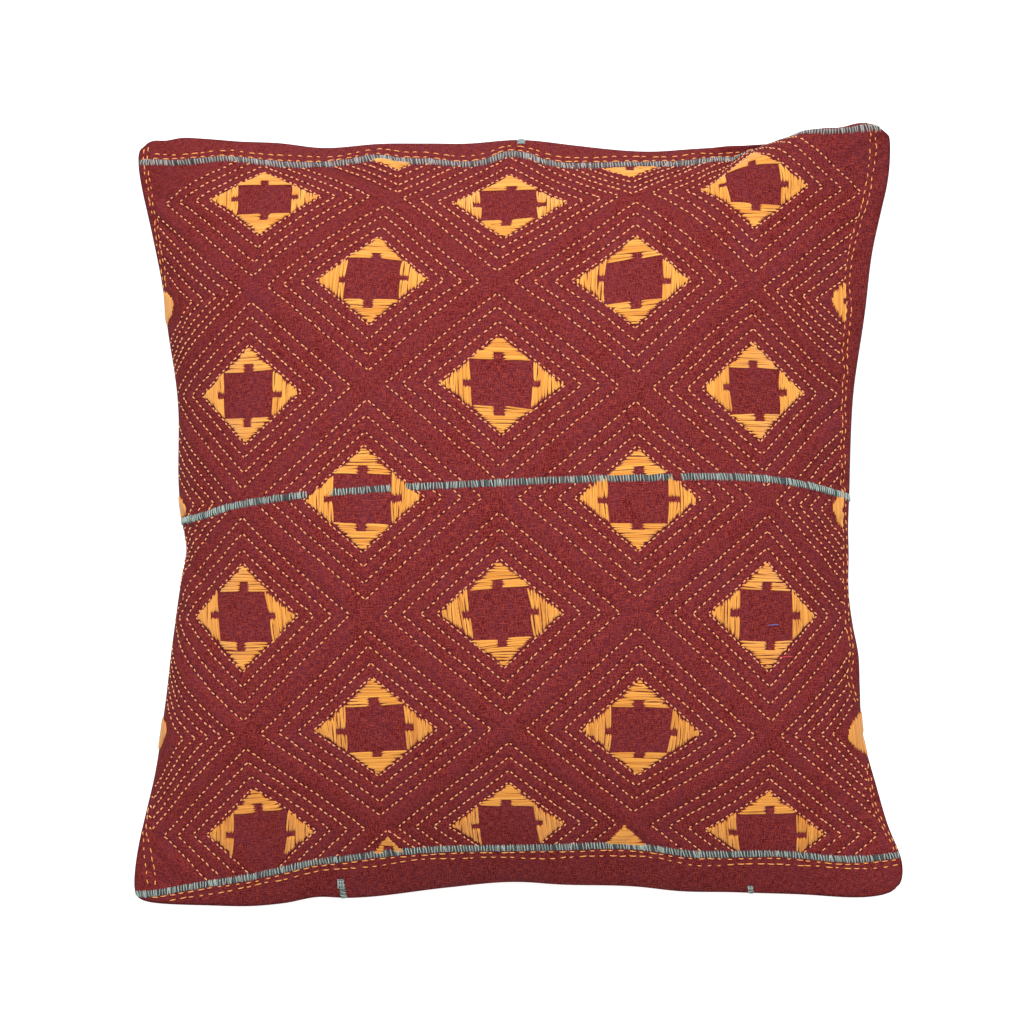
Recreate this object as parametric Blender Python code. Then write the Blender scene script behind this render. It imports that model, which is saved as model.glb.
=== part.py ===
"""A filled kantha cushion cover, lying on its back with the embroidered face up.

Metres, +Z up, +Y towards the cushion's top edge. The origin is the middle of the
bounding box on the surface that the cushion lies on.

The face is laid out on the embroidery's own lattice: a column and a row number, with a
satin-stitched diamond wherever their sum is odd. Two tables say where that lattice lies
once the cover is filled, and every other shape is placed by column and row.
"""

import math

import bmesh
import bpy
import numpy as np

MM = 0.001

# Heights of the filled cushion
SEAM_HEIGHT = 58 * MM  # seam above the surface, at the middle of a side
CORNER_DROP = 10 * MM  # how much lower the seam runs at the corners
CROWN_HEIGHT = 74 * MM  # middle of the face above the seam
CROWN_POWER = 2.2
CROWN_EASE = 0.8
CORNER_ROUND = 3 * MM

# Rows and columns of the lattice at the four seams
TOP_ROW, BOTTOM_ROW = 0.0, 7.65
LEFT_COLUMN_MIDDLE, LEFT_COLUMN_ENDS = -2.83, -2.95
RIGHT_COLUMN_MIDDLE, RIGHT_COLUMN_ENDS = 2.86, 3.02
STEPS_PER_CELL = 8

# Heights up the page in mm of each lattice row, read along it:
# row, left seam, column -2.5, column -1.5, column 0, column 1.5, column 2.5, right seam
UP = (
    (0.00, 211, 214, 208, 211, 206, 214, 215),
    (0.33, 202, 201, 198, 201, 196, 218, 220),
    (1.00, 175, 177, 177, 176, 182, 185, 181),
    (2.00, 114, 121, 132, 133, 131, 121, 117),
    (3.00, 67, 69, 70, 74, 72, 69, 68),
    (4.00, 5, 7, 8, 10, 8, 3, 0),
    (5.00, -58, -57, -56, -55, -55, -56, -56),
    (6.00, -128, -126, -122, -120, -121, -122, -123),
    (7.00, -182, -181, -179, -176, -178, -179, -181),
    (7.65, -217, -220, -217, -208, -211, -216, -216),
)
UP_COLUMNS = (-2.5, -1.5, 0.0, 1.5, 2.5)

# Distances across the page in mm of each lattice row:
# row, left seam, column -2.5, column 0, column 2.5, right seam
ACROSS = (
    (0.00, -216, -183, -6, 171, 212),
    (0.33, -215, -181, -6, 167, 212),
    (1.00, -210, -179, -6, 165, 208),
    (2.00, -200, -185, -9, 167, 196),
    (3.00, -193, -181, -10, 163, 189),
    (4.00, -190, -181, -11, 168, 188),
    (5.00, -194, -185, -10, 170, 187),
    (6.00, -205, -189, -8, 176, 196),
    (7.00, -213, -179, -6, 177, 211),
    (7.65, -219, -181, -5, 179, 220),
)
ACROSS_COLUMN = 2.5
MIDDLE_SPREAD = 0.08  # columns are this much wider than average at the middle
SIDE_SQUEEZE = 0.14  # and this much narrower near the sides, where the face turns down
SEAM_SQUEEZE = 0.6

# The fold that lifts the top right corner, as a crest between two places on the lattice
FOLD_START = (1.35, 0.95)
FOLD_END = (3.02, 0.30)
FOLD_HEIGHT = 13 * MM
FOLD_WIDTH = 0.33

# Relief of the quilting in mm, by distance from a diamond's middle (0) to the next
# diamond's ground (1): distance, height
RELIEF = ((0.0, 0.0), (0.5, -0.9), (0.625, 0.3), (0.75, -0.7), (0.875, -0.2), (1.0, 1.1))
SATIN_HEIGHT = 1.2
SATIN_REACH = 0.45
SQUARE_HALF = 0.2
RELIEF_MARGIN = 0.25  # the relief fades out over this many rows at the seams
BAND_FLAT = 0.12  # and beside a teal band

# Underside, from the seam in to the flat that the cushion lies on:
# way in to the middle, height as a part of the seam's at a side's middle, at a corner
UNDERSIDE = (
    (0.012, 0.90, 0.96),
    (0.05, 0.66, 0.84),
    (0.12, 0.38, 0.62),
    (0.22, 0.15, 0.34),
    (0.34, 0.03, 0.10),
    (0.44, 0.00, 0.00),
)

# Teal bands of close stitches: the lattice row of each at seven columns
BAND_COLUMNS = (-3.0, -2.0, -1.0, 0.0, 1.0, 2.0, 3.0)
BAND_ROWS = {
    "band_top": (0.37, 0.33, 0.33, 0.29, 0.27, 0.31, 0.33),
    "band_middle": (4.16, 3.99, 3.94, 3.87, 3.82, 3.80, 3.86),
    "band_bottom": (7.56, 7.38, 7.20, 7.22, 7.20, 7.21, 7.23),
}
BAND_WIDTH = 4.2 * MM
BAND_THICK = 1.3 * MM
BAND_END = 0.03  # columns left bare at each seam
CLEAR = 0.6 * MM  # between a band's flat back and the faceted cloth

# Teal tacks over the edge: column, first row, last row, width
TACKS = {
    "tack_bottom_left": (-1.34, 7.42, 7.64, 5.0 * MM),
    "tack_bottom_right": (1.86, 7.52, 7.64, 3.2 * MM),
    "tack_top": (0.10, 0.02, 0.12, 4.0 * MM),
}

CLOTH_COLOUR = (0.200, 0.026, 0.032)
TEAL_COLOUR = (0.175, 0.300, 0.300)


def curve_through(x, knots, values, slopes=None):
    """Smooth curve through values at knots, straight on past both ends.

    Knots and values may be numbers or arrays as long as x.
    """
    pairs = list(zip(knots, knots[1:], values, values[1:]))
    steps = [after - before for before, after, _, _ in pairs]
    rises = [(high - low) / step for (_, _, low, high), step in zip(pairs, steps)]
    if slopes is None:
        inner = [
            (rises[k] * steps[k + 1] + rises[k + 1] * steps[k]) / (steps[k] + steps[k + 1])
            for k in range(len(steps) - 1)
        ]
        slopes = [rises[0], *inner, rises[-1]]
    result = values[0] + slopes[0] * (x - knots[0])
    for k, (start, _, low, high) in enumerate(pairs):
        t = np.clip((x - start) / steps[k], 0, 1)
        bend = steps[k] * (slopes[k] * t * (1 - t) ** 2 - slopes[k + 1] * t**2 * (1 - t))
        value = low + (high - low) * t**2 * (3 - 2 * t) + bend
        result = np.where(x >= start, value, result)
    past = values[-1] + slopes[-1] * (x - knots[-1])
    return np.where(x > knots[-1], past, result)


def table_column(table, number, row):
    """One column of UP or ACROSS, in metres, at any lattice row."""
    rows = [line[0] for line in table]
    values = [line[number] * MM for line in table]
    return curve_through(row, rows, values)


def height_share(row):
    """-1 at the top seam, 1 at the bottom seam."""
    return (2 * row - TOP_ROW - BOTTOM_ROW) / (BOTTOM_ROW - TOP_ROW)


def seam_columns(row):
    """Lattice columns of the left and right seams at a row."""
    ends = height_share(row) ** 2
    left = LEFT_COLUMN_MIDDLE + (LEFT_COLUMN_ENDS - LEFT_COLUMN_MIDDLE) * ends
    right = RIGHT_COLUMN_MIDDLE + (RIGHT_COLUMN_ENDS - RIGHT_COLUMN_MIDDLE) * ends
    return left, right


def across_page(column, row):
    """X of a lattice place: columns spread at the middle and squeezed at the sides."""
    left, right = seam_columns(row)
    values = [table_column(ACROSS, n, row) for n in range(1, 6)]
    knots = [left, -ACROSS_COLUMN, 0.0, ACROSS_COLUMN, right]
    middle = 1 - height_share(row) ** 2
    rises = [(values[k + 1] - values[k]) / (knots[k + 1] - knots[k]) for k in range(4)]
    slopes = [
        rises[0] * (1 - SEAM_SQUEEZE * middle),
        rises[1] * (1 - SIDE_SQUEEZE * middle),
        (rises[1] + rises[2]) / 2 * (1 + MIDDLE_SPREAD * middle),
        rises[2] * (1 - SIDE_SQUEEZE * middle),
        rises[3] * (1 - SEAM_SQUEEZE * middle),
    ]
    return curve_through(column, knots, values, slopes)


def up_page(column, row):
    """Y of a lattice place."""
    left, right = seam_columns(row)
    values = [table_column(UP, n, row) for n in range(1, 8)]
    return curve_through(column, [left, *UP_COLUMNS, right], values)


def fold(column, row):
    """0 to 1: nearness to the crest of the top right corner's fold."""
    run = np.subtract(FOLD_END, FOLD_START)
    length = math.hypot(*run)
    ahead = ((column - FOLD_START[0]) * run[0] + (row - FOLD_START[1]) * run[1]) / length
    aside = ((column - FOLD_START[0]) * run[1] - (row - FOLD_START[1]) * run[0]) / length
    rise = np.clip(ahead / length, 0, 1)
    return rise * (2 - rise) * np.exp(-((aside / FOLD_WIDTH) ** 2))


def face_height(column, row):
    """Z of the smooth face: the seam's height, the crown over it and the fold."""
    left, right = seam_columns(row)
    a = np.clip(np.abs(2 * column - left - right) / (right - left), 0, 1)
    b = np.clip(np.abs(height_share(row)), 0, 1)
    seam = SEAM_HEIGHT - CORNER_DROP * a**3 * b**3
    crown = ((1 - a**CROWN_POWER) * (1 - b**CROWN_POWER)) ** CROWN_EASE
    return seam + CROWN_HEIGHT * crown + FOLD_HEIGHT * fold(column, row)


def smooth_face(column, row):
    """Points of the face without its quilting, with the four corners rounded."""
    left, right = seam_columns(row)
    a = (2 * column - left - right) / (right - left)
    b = height_share(row)
    corner = CORNER_ROUND * np.abs(a * b) ** 16
    x = across_page(column, row) - corner * np.sign(a)
    y = up_page(column, row) + corner * np.sign(b)
    return np.stack([x, y, face_height(column, row)], axis=-1)


def face_normal(column, row):
    """Upward unit normals of the smooth face, from its slopes along columns and rows."""
    step = 0.01
    along = smooth_face(column + step, row) - smooth_face(column - step, row)
    down = smooth_face(column, row + step) - smooth_face(column, row - step)
    normal = np.cross(down, along)
    return normal / np.linalg.norm(normal, axis=-1, keepdims=True)


def band_row(name, column):
    return curve_through(column, BAND_COLUMNS, BAND_ROWS[name])


def from_odd(number):
    """Distance to the nearest odd whole number, 0 to 1, with its sign."""
    return number % 2 - 1


def relief(column, row):
    """Height of the quilting: raised satin diamonds and plain ground, sunk stitch rows."""
    u, v = from_odd(column + row), from_odd(column - row)
    distance = np.maximum(np.abs(u), np.abs(v))
    height = np.interp(distance, *zip(*RELIEF))
    beside, above = np.abs(u + v) / 2, np.abs(u - v) / 2
    satin = (distance < SATIN_REACH) & (np.maximum(beside, above) > SQUARE_HALF)
    height = np.where(satin, SATIN_HEIGHT, height)
    left, right = seam_columns(row)
    inside = np.minimum.reduce([column - left, right - column, row - TOP_ROW, BOTTOM_ROW - row])
    fade = np.clip(inside / RELIEF_MARGIN, 0, 1)
    for name in BAND_ROWS:
        fade = fade * np.clip(np.abs(row - band_row(name, column)) / BAND_FLAT - 1, 0, 1)
    return height * fade * MM


def lattice_grid():
    """Columns and rows of the face's grid: the seams, and every eighth of a cell between."""
    first = math.ceil(LEFT_COLUMN_MIDDLE * STEPS_PER_CELL)
    last = math.floor(RIGHT_COLUMN_MIDDLE * STEPS_PER_CELL)
    inner = np.arange(first, last + 1) / STEPS_PER_CELL
    below = np.arange(0, math.floor(BOTTOM_ROW * STEPS_PER_CELL) + 1) / STEPS_PER_CELL
    rows = np.append(below, BOTTOM_ROW)
    lines = []
    for row in rows:
        left, right = seam_columns(row)
        lines.append(np.concatenate([[left], inner, [right]]))
    return np.array(lines), np.repeat(rows[:, None], len(inner) + 2, axis=1)


def face_triangles(columns, rows):
    """Two triangles a cell, split along the diamond's side that crosses it."""
    high, wide = columns.shape
    number = np.arange(high * wide).reshape(high, wide)
    faces = []
    for r in range(high - 1):
        for c in range(wide - 1):
            column = columns[r : r + 2, c : c + 2].mean()
            row = rows[r : r + 2, c : c + 2].mean()
            a, b, d, e = number[r, c], number[r, c + 1], number[r + 1, c], number[r + 1, c + 1]
            if abs(from_odd(column + row)) > abs(from_odd(column - row)):
                faces += [(a, d, b), (b, d, e)]
            else:
                faces += [(a, d, e), (a, e, b)]
    return faces


def seam_loop(high, wide):
    """Grid numbers once around the seam, anticlockwise seen from above."""
    number = np.arange(high * wide).reshape(high, wide)
    bottom, right = number[-1, :-1], number[:0:-1, -1]
    top, left = number[0, :0:-1], number[:-1, 0]
    return np.concatenate([bottom, right, top, left])


def new_material(name, colour, roughness):
    material = bpy.data.materials.new(name)
    material.use_nodes = True
    shader = material.node_tree.nodes["Principled BSDF"]
    shader.inputs["Base Color"].default_value = (*colour, 1)
    shader.inputs["Roughness"].default_value = roughness
    return material


def add_object(name, points, faces, material):
    mesh = bpy.data.meshes.new(name)
    mesh.from_pydata([tuple(p) for p in points], [], [tuple(map(int, f)) for f in faces])
    mesh.materials.append(material)
    mesh.shade_smooth()
    obj = bpy.data.objects.new(name, mesh)
    bpy.context.scene.collection.objects.link(obj)
    return obj


def make_cushion(material):
    """One closed solid: the quilted face, and plain rings down to the flat underside."""
    columns, rows = lattice_grid()
    face = smooth_face(columns, rows)
    face = face + face_normal(columns, rows) * relief(columns, rows)[..., None]
    high, wide = columns.shape
    points = list(face.reshape(-1, 3))
    faces = face_triangles(columns, rows)
    loop = seam_loop(high, wide)
    seam = np.array(points)[loop]
    left, right = seam_columns(rows.reshape(-1)[loop])
    a = (2 * columns.reshape(-1)[loop] - left - right) / (right - left)
    cornered = np.abs(a * height_share(rows.reshape(-1)[loop])) ** 2
    middle = (seam.min(axis=0) + seam.max(axis=0)) / 2
    before = loop
    for way_in, side, corner in UNDERSIDE:
        ring = seam + (middle - seam) * way_in
        ring[:, 2] = seam[:, 2] * (side + (corner - side) * cornered)
        numbers = np.arange(len(points), len(points) + len(loop))
        points += list(ring)
        for k in range(len(loop)):
            after = (k + 1) % len(loop)
            faces.append((before[k], numbers[k], numbers[after]))
            faces.append((before[k], numbers[after], before[after]))
        before = numbers
    faces.append(tuple(before[::-1]))
    return add_object("cushion", points, faces, material)


def make_strip(name, columns, rows, width, material):
    """A low rounded strip of close stitches, following a path over the face."""
    centre = smooth_face(columns, rows)
    upward = face_normal(columns, rows)
    along = np.gradient(centre, axis=0)
    aside = np.cross(upward, along)
    aside /= np.linalg.norm(aside, axis=1, keepdims=True)
    section = ((-0.5, 0.0), (0.5, 0.0), (0.42, 0.7), (0.0, 1.0), (-0.42, 0.7))
    sides = [
        centre + aside * (across * width) + upward * (CLEAR + lift * BAND_THICK)
        for across, lift in section
    ]
    points = np.stack(sides, axis=1).reshape(-1, 3)
    count, round_ = len(columns), len(section)
    faces = []
    for k in range(count - 1):
        for n in range(round_):
            m = (n + 1) % round_
            a, b = k * round_ + n, k * round_ + m
            faces.append((a, a + round_, b + round_, b))
    faces.append(tuple(range(round_)))
    faces.append(tuple(range((count - 1) * round_, count * round_))[::-1])
    obj = add_object(name, points, faces, material)
    tidy = bmesh.new()
    tidy.from_mesh(obj.data)
    bmesh.ops.recalc_face_normals(tidy, faces=tidy.faces)
    bmesh.ops.triangulate(tidy, faces=tidy.faces)
    tidy.to_mesh(obj.data)
    tidy.free()
    return obj


def make_band(name, material):
    row_left, row_right = BAND_ROWS[name][0], BAND_ROWS[name][-1]
    first = seam_columns(row_left)[0] + BAND_END
    last = seam_columns(row_right)[1] - BAND_END
    count = round((last - first) * STEPS_PER_CELL)
    columns = np.linspace(first, last, count + 1)
    return make_strip(name, columns, band_row(name, columns), BAND_WIDTH, material)


def make_tack(name, material):
    column, first, last, width = TACKS[name]
    rows = np.linspace(first, last, 5)
    return make_strip(name, np.full(5, column), rows, width, material)


def main():
    for obj in list(bpy.data.objects):
        bpy.data.objects.remove(obj, do_unlink=True)
    make_cushion(new_material("maroon_cotton", CLOTH_COLOUR, 0.9))
    for name in BAND_ROWS:
        make_band(name, new_material(name + "_thread", TEAL_COLOUR, 0.75))
    for name in TACKS:
        make_tack(name, new_material(name + "_thread", TEAL_COLOUR, 0.75))


main()
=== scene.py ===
"""Looks of a filled kantha cushion cover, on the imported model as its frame.

Metres, +Z up out of the embroidered face, +Y towards the top edge. Everything on the face
is placed by the embroidery's own lattice: a column and a row number, with a satin diamond
wherever their sum is odd.
"""

import functools
import math

import bpy
import numpy as np
from bpy.props import FloatProperty, FloatVectorProperty, IntProperty, PointerProperty
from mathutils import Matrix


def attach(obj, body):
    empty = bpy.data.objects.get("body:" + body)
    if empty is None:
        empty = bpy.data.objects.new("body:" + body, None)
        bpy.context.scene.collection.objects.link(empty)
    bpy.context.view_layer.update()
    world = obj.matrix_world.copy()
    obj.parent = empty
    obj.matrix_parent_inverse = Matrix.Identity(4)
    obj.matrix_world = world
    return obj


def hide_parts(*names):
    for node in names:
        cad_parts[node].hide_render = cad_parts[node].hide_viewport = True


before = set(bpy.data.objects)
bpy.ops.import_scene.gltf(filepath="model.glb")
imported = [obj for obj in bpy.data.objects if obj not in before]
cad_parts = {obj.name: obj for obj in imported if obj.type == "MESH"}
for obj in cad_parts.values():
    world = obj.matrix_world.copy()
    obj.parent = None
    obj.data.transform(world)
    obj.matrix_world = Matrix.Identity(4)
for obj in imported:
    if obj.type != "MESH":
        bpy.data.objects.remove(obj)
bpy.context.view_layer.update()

bl_info = {
    "name": "Kantha cushion cover",
    "version": (1, 0, 0),
    "blender": (4, 5, 0),
    "location": "3D View > Sidebar > Cushion",
    "description": "Filled cotton cover with satin diamonds, rows of running stitch and teal bands",
    "category": "Add Mesh",
}

MM = 0.001

# Form of the filled cover. The heights, the crown, the rows and the tables UP and ACROSS are
# the solid's own. The seams' columns, the corners and the fold's end are finer than there.
SEAM_HEIGHT, CORNER_DROP, CROWN_HEIGHT = 58 * MM, 10 * MM, 74 * MM
CROWN_POWER, CROWN_EASE = 2.2, 0.8
TOP_ROW, BOTTOM_ROW = 0.0, 7.65

# Column of each side seam at the top, the middle and the bottom
LEFT_SEAM = (-3.31, -2.83, -3.28)
RIGHT_SEAM = (3.26, 2.86, 3.06)

# How far each corner is rounded off in mm: top left, top right, bottom left, bottom right
CORNER_ROUND = (4.4, 10.0, 4.4, 5.8)

# Powers by which that fades away from a corner, the second down the page at the lifted one
CORNER_POWER, LIFTED_POWER = 24, 8

# Heights up the page in mm of each lattice row, read along it:
# row, left seam, column -2.5, column -1.5, column 0, column 1.5, column 2.5, right seam
UP = (
    (0.00, 211, 214, 208, 211, 206, 214, 215),
    (0.33, 202, 201, 198, 201, 196, 218, 220),
    (1.00, 175, 177, 177, 176, 182, 185, 181),
    (2.00, 114, 121, 132, 133, 131, 121, 117),
    (3.00, 67, 69, 70, 74, 72, 69, 68),
    (4.00, 5, 7, 8, 10, 8, 3, 0),
    (5.00, -58, -57, -56, -55, -55, -56, -56),
    (6.00, -128, -126, -122, -120, -121, -122, -123),
    (7.00, -182, -181, -179, -176, -178, -179, -181),
    (7.65, -217, -220, -217, -208, -211, -216, -216),
)
UP_COLUMNS = (-2.5, -1.5, 0.0, 1.5, 2.5)

# Distances across the page in mm of each lattice row:
# row, left seam, column -2.5, column 0, column 2.5, right seam
ACROSS = (
    (0.00, -216, -183, -6, 171, 212),
    (0.33, -215, -181, -6, 167, 212),
    (1.00, -210, -179, -6, 165, 208),
    (2.00, -200, -185, -9, 167, 196),
    (3.00, -193, -181, -10, 163, 189),
    (4.00, -190, -181, -11, 168, 188),
    (5.00, -194, -185, -10, 170, 187),
    (6.00, -205, -189, -8, 176, 196),
    (7.00, -213, -179, -6, 177, 211),
    (7.65, -219, -181, -5, 179, 220),
)
ACROSS_COLUMN = 2.5

# How much wider than even the columns are at the middle, and narrower at the sides and seams
MIDDLE_SPREAD, SIDE_SQUEEZE, SEAM_SQUEEZE = 0.08, 0.14, 0.6

# The fold that lifts the top right corner, as a crest between two places on the lattice
FOLD_START, FOLD_END = (1.35, 0.95), (3.10, 0.30)
FOLD_HEIGHT, FOLD_WIDTH = 13 * MM, 0.33

# Crest of the fold on the page in mm, and how the cloth crowds and drops beyond it
CREST_FROM, CREST_TO = (101.0, 184.5), (152.0, 213.3)
CREST_PULL, CREST_REACH = 9.0 * MM, 10.0 * MM
CREST_DROP, CREST_EDGE = 13.0 * MM, 3.0 * MM

# Shares of the crest's length over which it starts, where it ends and over which it fades
# there, and the rows below the top seam over which it starts
CREST_START, CREST_PAST, CREST_FADE, CREST_ROWS = 0.5, 1.3, 0.35, 0.22

# How far in mm the sewn diamonds stray from the even lattice, to the right and up the page:
# row, then columns -2, -1, 0, 1, 2
ASIDE = (
    (0.00, 0, 0, 0, 0, 0),
    (1.00, 2.6, 2.1, 0.0, 0.8, 0.1),
    (2.00, 1.6, 0.2, -3.8, -0.1, -3.2),
    (3.00, -2.6, -2.7, 0.1, 2.3, 0.3),
    (4.00, -5.5, -4.6, 0.0, 2.3, 4.1),
    (5.00, -2.0, -1.6, -0.7, 0.6, 1.6),
    (6.00, 0.2, 3.1, 1.9, -0.3, 0.4),
    (7.00, -0.2, -0.6, -0.1, -3.6, -1.5),
    (7.65, 0, 0, 0, 0, 0),
)
UPWARD = (
    (0.00, 0, 0, 0, 0, 0),
    (1.00, 2.3, 3.4, -1.4, 1.9, 1.6),
    (2.00, 0.1, -0.2, -1.4, -0.4, 3.0),
    (3.00, -2.2, 2.0, 0.4, -0.8, -0.2),
    (4.00, -0.8, 1.0, 0.2, 0.3, 2.4),
    (5.00, -0.3, 0.0, 0.6, 0.5, -0.3),
    (6.00, 0.3, 1.1, 0.0, -0.3, -2.5),
    (7.00, 1.1, 1.5, 1.3, 3.7, -1.4),
    (7.65, 0, 0, 0, 0, 0),
)

# Unevenness of the hand-sewn outline: place along the side, mm outwards
EDGES = {
    "left": (
        (0.0, 0.8), (0.9, 1.7), (1.3, 0.5), (1.75, -0.5), (2.2, 0.5), (3.1, 0.6), (3.94, 2.2),
        (4.16, 0.2), (4.37, -2.2), (4.8, 0.0), (5.2, 0.5), (5.7, -1.1), (6.25, -1.6),
        (6.75, 0.6), (7.0, 1.7), (7.65, 2.3),
    ),
    "right": (
        (0.0, 0.8), (0.4, 1.6), (0.8, 1.2), (1.1, -1.0), (1.4, -2.2), (1.99, 0.0), (2.5, 0.6),
        (3.07, 0.0), (3.7, -1.0), (4.1, -1.6), (4.4, -0.6), (4.8, 0.0), (5.1, 1.4), (5.35, 2.9),
        (5.6, 1.3), (5.9, -1.1), (6.5, -1.0), (6.9, -0.6), (7.26, 2.3), (7.65, 0.0),
    ),
    "top": (
        (-3.3, 2.0), (-3.2, 1.5), (-3.05, 0.8), (-2.83, -0.7), (-2.6, 0.1), (-2.45, -0.4),
        (-2.2, -0.7), (-1.8, 1.0), (-1.5, 0.2), (-1.03, 2.3), (-0.64, 1.1), (-0.35, 0.0),
        (0.12, 1.8), (0.5, 0.6), (1.1, 0.0), (1.5, 1.7), (1.8, 1.1), (2.1, -0.5), (2.25, -1.6),
        (2.45, 0.8), (2.73, 0.8), (2.88, 4.6), (3.03, 4.0), (3.14, 0.4), (3.26, 0.0),
    ),
    "bottom": (
        (-3.3, 2.4), (-2.5, 0.7), (-2.0, 1.7), (-1.8, 1.0), (-1.55, -1.2), (-1.3, 0.5),
        (-0.5, 0.3), (0.1, -0.3), (0.35, 1.0), (1.0, 1.1), (1.3, 2.4), (1.77, 1.1),
        (2.3, -0.5), (2.7, 0.5), (3.1, 0.0),
    ),
}

# Columns and rows over which the offsets fade inwards
EDGE_COLUMNS, EDGE_ROWS = 0.30, 0.35

# From the seam under to the middle of the back: way in, height share at a side, at a corner
BACK = (
    (0.000, 1.00, 1.00),
    (0.012, 0.90, 0.96),
    (0.050, 0.66, 0.84),
    (0.120, 0.38, 0.62),
    (0.220, 0.15, 0.34),
    (0.340, 0.03, 0.10),
    (0.440, 0.00, 0.00),
    (0.700, 0.00, 0.00),
    (0.950, 0.00, 0.00),
)

# Whole way in and whole height of that profile in mm, by which its rings are spaced
PROFILE_WAY, PROFILE_HEIGHT = 215, 58

# Grid of the trial cloth. The finished cover has twice as many steps each way.
ACROSS_STEPS, DOWN_STEPS, BACK_STEPS = 92, 122, 16

# The trial cloth is slack within these cells and back rings of the seam. It starts uneven, and
# is puffed over these frames.
SLACK_CELLS, SLACK_RINGS, UNEVEN, TRIAL_FRAMES = 0.6, 8, 0.4 * MM, 20

# Flat size of a lattice cell in the cloth
CELL_WIDTH, CELL_HEIGHT = 73 * MM, 60 * MM

# Distances from a diamond's middle: the satin's edge, the row sewn around it, the running
# rows, the rows of the diamonds at the side seams, and the sides of the square
SATIN_EDGE, SATIN_ROW = 0.46, 0.468
RUNNING_ROWS = (0.585, 0.73, 0.87)
SIDE_ROWS = (0.475, 0.585, 0.70, 0.815, 0.93)
SQUARE_ACROSS, SQUARE_DOWN = 0.225, 0.215

# Rows nearer than this are sewn closer, by this share of the pitch
CLOSE_WITHIN, CLOSE_PITCH = 0.5, 0.92

# Places along a straight row, down a side and across the page, from which paths are read
ROW_PLACES, SIDE_PLACES, PAGE_PLACES = 40, 90, 400

# Places along a satin thread and a running stitch, and how far the satin's threads stop short
# of its edge
SATIN_STATIONS, STITCH_STATIONS = 9, 5
SATIN_INSET = 0.012

# Notches beside a square: depth and width, above and below it and to its left and right
NOTCH_DEEP, NOTCH_WIDE = (0.072, 0.062), (0.048, 0.030)

# Chance in the satin, in cells: a thread's place, ends, tilt and bow, a notch's middle and its
# sides, and the lean of two facing sides of a square and of each
PLACE_CHANCE, END_CHANCE, TILT_CHANCE, BOW_CHANCE = 0.0020, 0.009, 0.0035, 0.003
NOTCH_CHANCE, NOTCH_SIDE_CHANCE = 0.014, 0.006
PAIR_LEAN, SIDE_LEAN = 0.05, 0.03

# Threads: half width, half height and lift off the face in mm, bluntness of the ends, sides
THREADS = {
    "satin": (0.60, 0.33, 0.58, 7.0, 6),
    "running": (0.45, 0.33, 0.50, 2.0, 5),
    "border": (0.36, 0.30, 0.45, 2.0, 5),
    "stray": (0.30, 0.26, 0.75, 2.0, 6),
    "light band": (0.31, 0.38, 0.70, 5.0, 6),
    "dark band": (0.37, 0.38, 0.52, 5.0, 6),
    "tack": (0.46, 0.42, 0.75, 4.0, 6),
    "tack strand": (0.34, 0.34, 1.35, 3.0, 6),
}

# Their ends: start and least of the rounding, power of the rise over the bluntness. The share
# of the half height that lies in the cloth, and how far a tone moves the fibres, in mm.
END_ROUND, END_LEAST, RISE_POWER, SUNK, TONE_SHIFT = 1.04, 0.02, 1.5, 0.6, 37

# Chance of a running stitch's start in pitches, and how much further it may fall short in
# length than pass it
START_CHANCE, SHORTER = 0.07, 1.4

# Painted shade: satin darkens down the page between two rows, by two amounts, less on threads across
# it
PAINTED_SHADE_ROWS, PAINTED_SHADES, PAINTED_SHADE_ACROSS = (3.6, 7.0), (-0.15, 0.42), 0.3

# Lattice row that parts the running stitches into their upper and lower piece
PIECES_PART = 3.9

# Relief of the quilting in mm: distance, height
RELIEF = (
    (0.00, 0.3),
    (0.20, 0.3),
    (0.44, 0.0),
    (0.46, -0.6),
    (0.52, 0.2),
    (0.585, -0.6),
    (0.655, 0.25),
    (0.73, -0.6),
    (0.80, 0.25),
    (0.87, -0.6),
    (0.93, 0.55),
    (1.00, 0.9),
)

# Cells over which the relief fades in at the sides and the ends, and the bed that a band
# presses in: half width in rows, depth in mm
RELIEF_SIDES, RELIEF_ENDS = 0.12, 0.08
BED_WIDTH, BED_DEPTH = 0.045, 0.5

# Creases beside the side seams: how much they slant, how far apart in rows, how deep in mm,
# how many columns they reach in
CREASE_SLANT, CREASE_APART, CREASE_DEPTH, CREASE_REACH = 0.75, 0.34, 1.5, 0.75

# How they wander: amount and turn for each row. How they swell: least, swell, turn for each
# row and between the sides.
CREASE_WANDER = (0.22, 2.3)
CREASE_SWELL = (0.55, 0.45, 1.9, 0.8)

# Pitch of the weave, and the dents along sewn rows: half width in cells, depth, how far they
# darken the cloth and to what. That darkening is needle holes and painted shade in the dents.
WEAVE_PITCH = 0.62 * MM
DENT_HALF, DENT_DEPTH = 0.02, 0.40 * MM
DENT_HOLES_AND_SHADE_AMOUNT, DENT_HOLES_AND_SHADE_COLOUR = 0.6, (0.022, 0.006, 0.009)

# Stray stitches of other threads: first and last column and row, colour
STRAYS = (
    ((2.005, 5.085), (2.115, 5.075), (0.16, 0.12, 0.42)),
    ((2.08, 5.345), (2.22, 5.340), (0.62, 0.03, 0.05)),
    ((2.405, 3.53), (2.43, 3.54), (0.02, 0.003, 0.008)),
)

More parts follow.
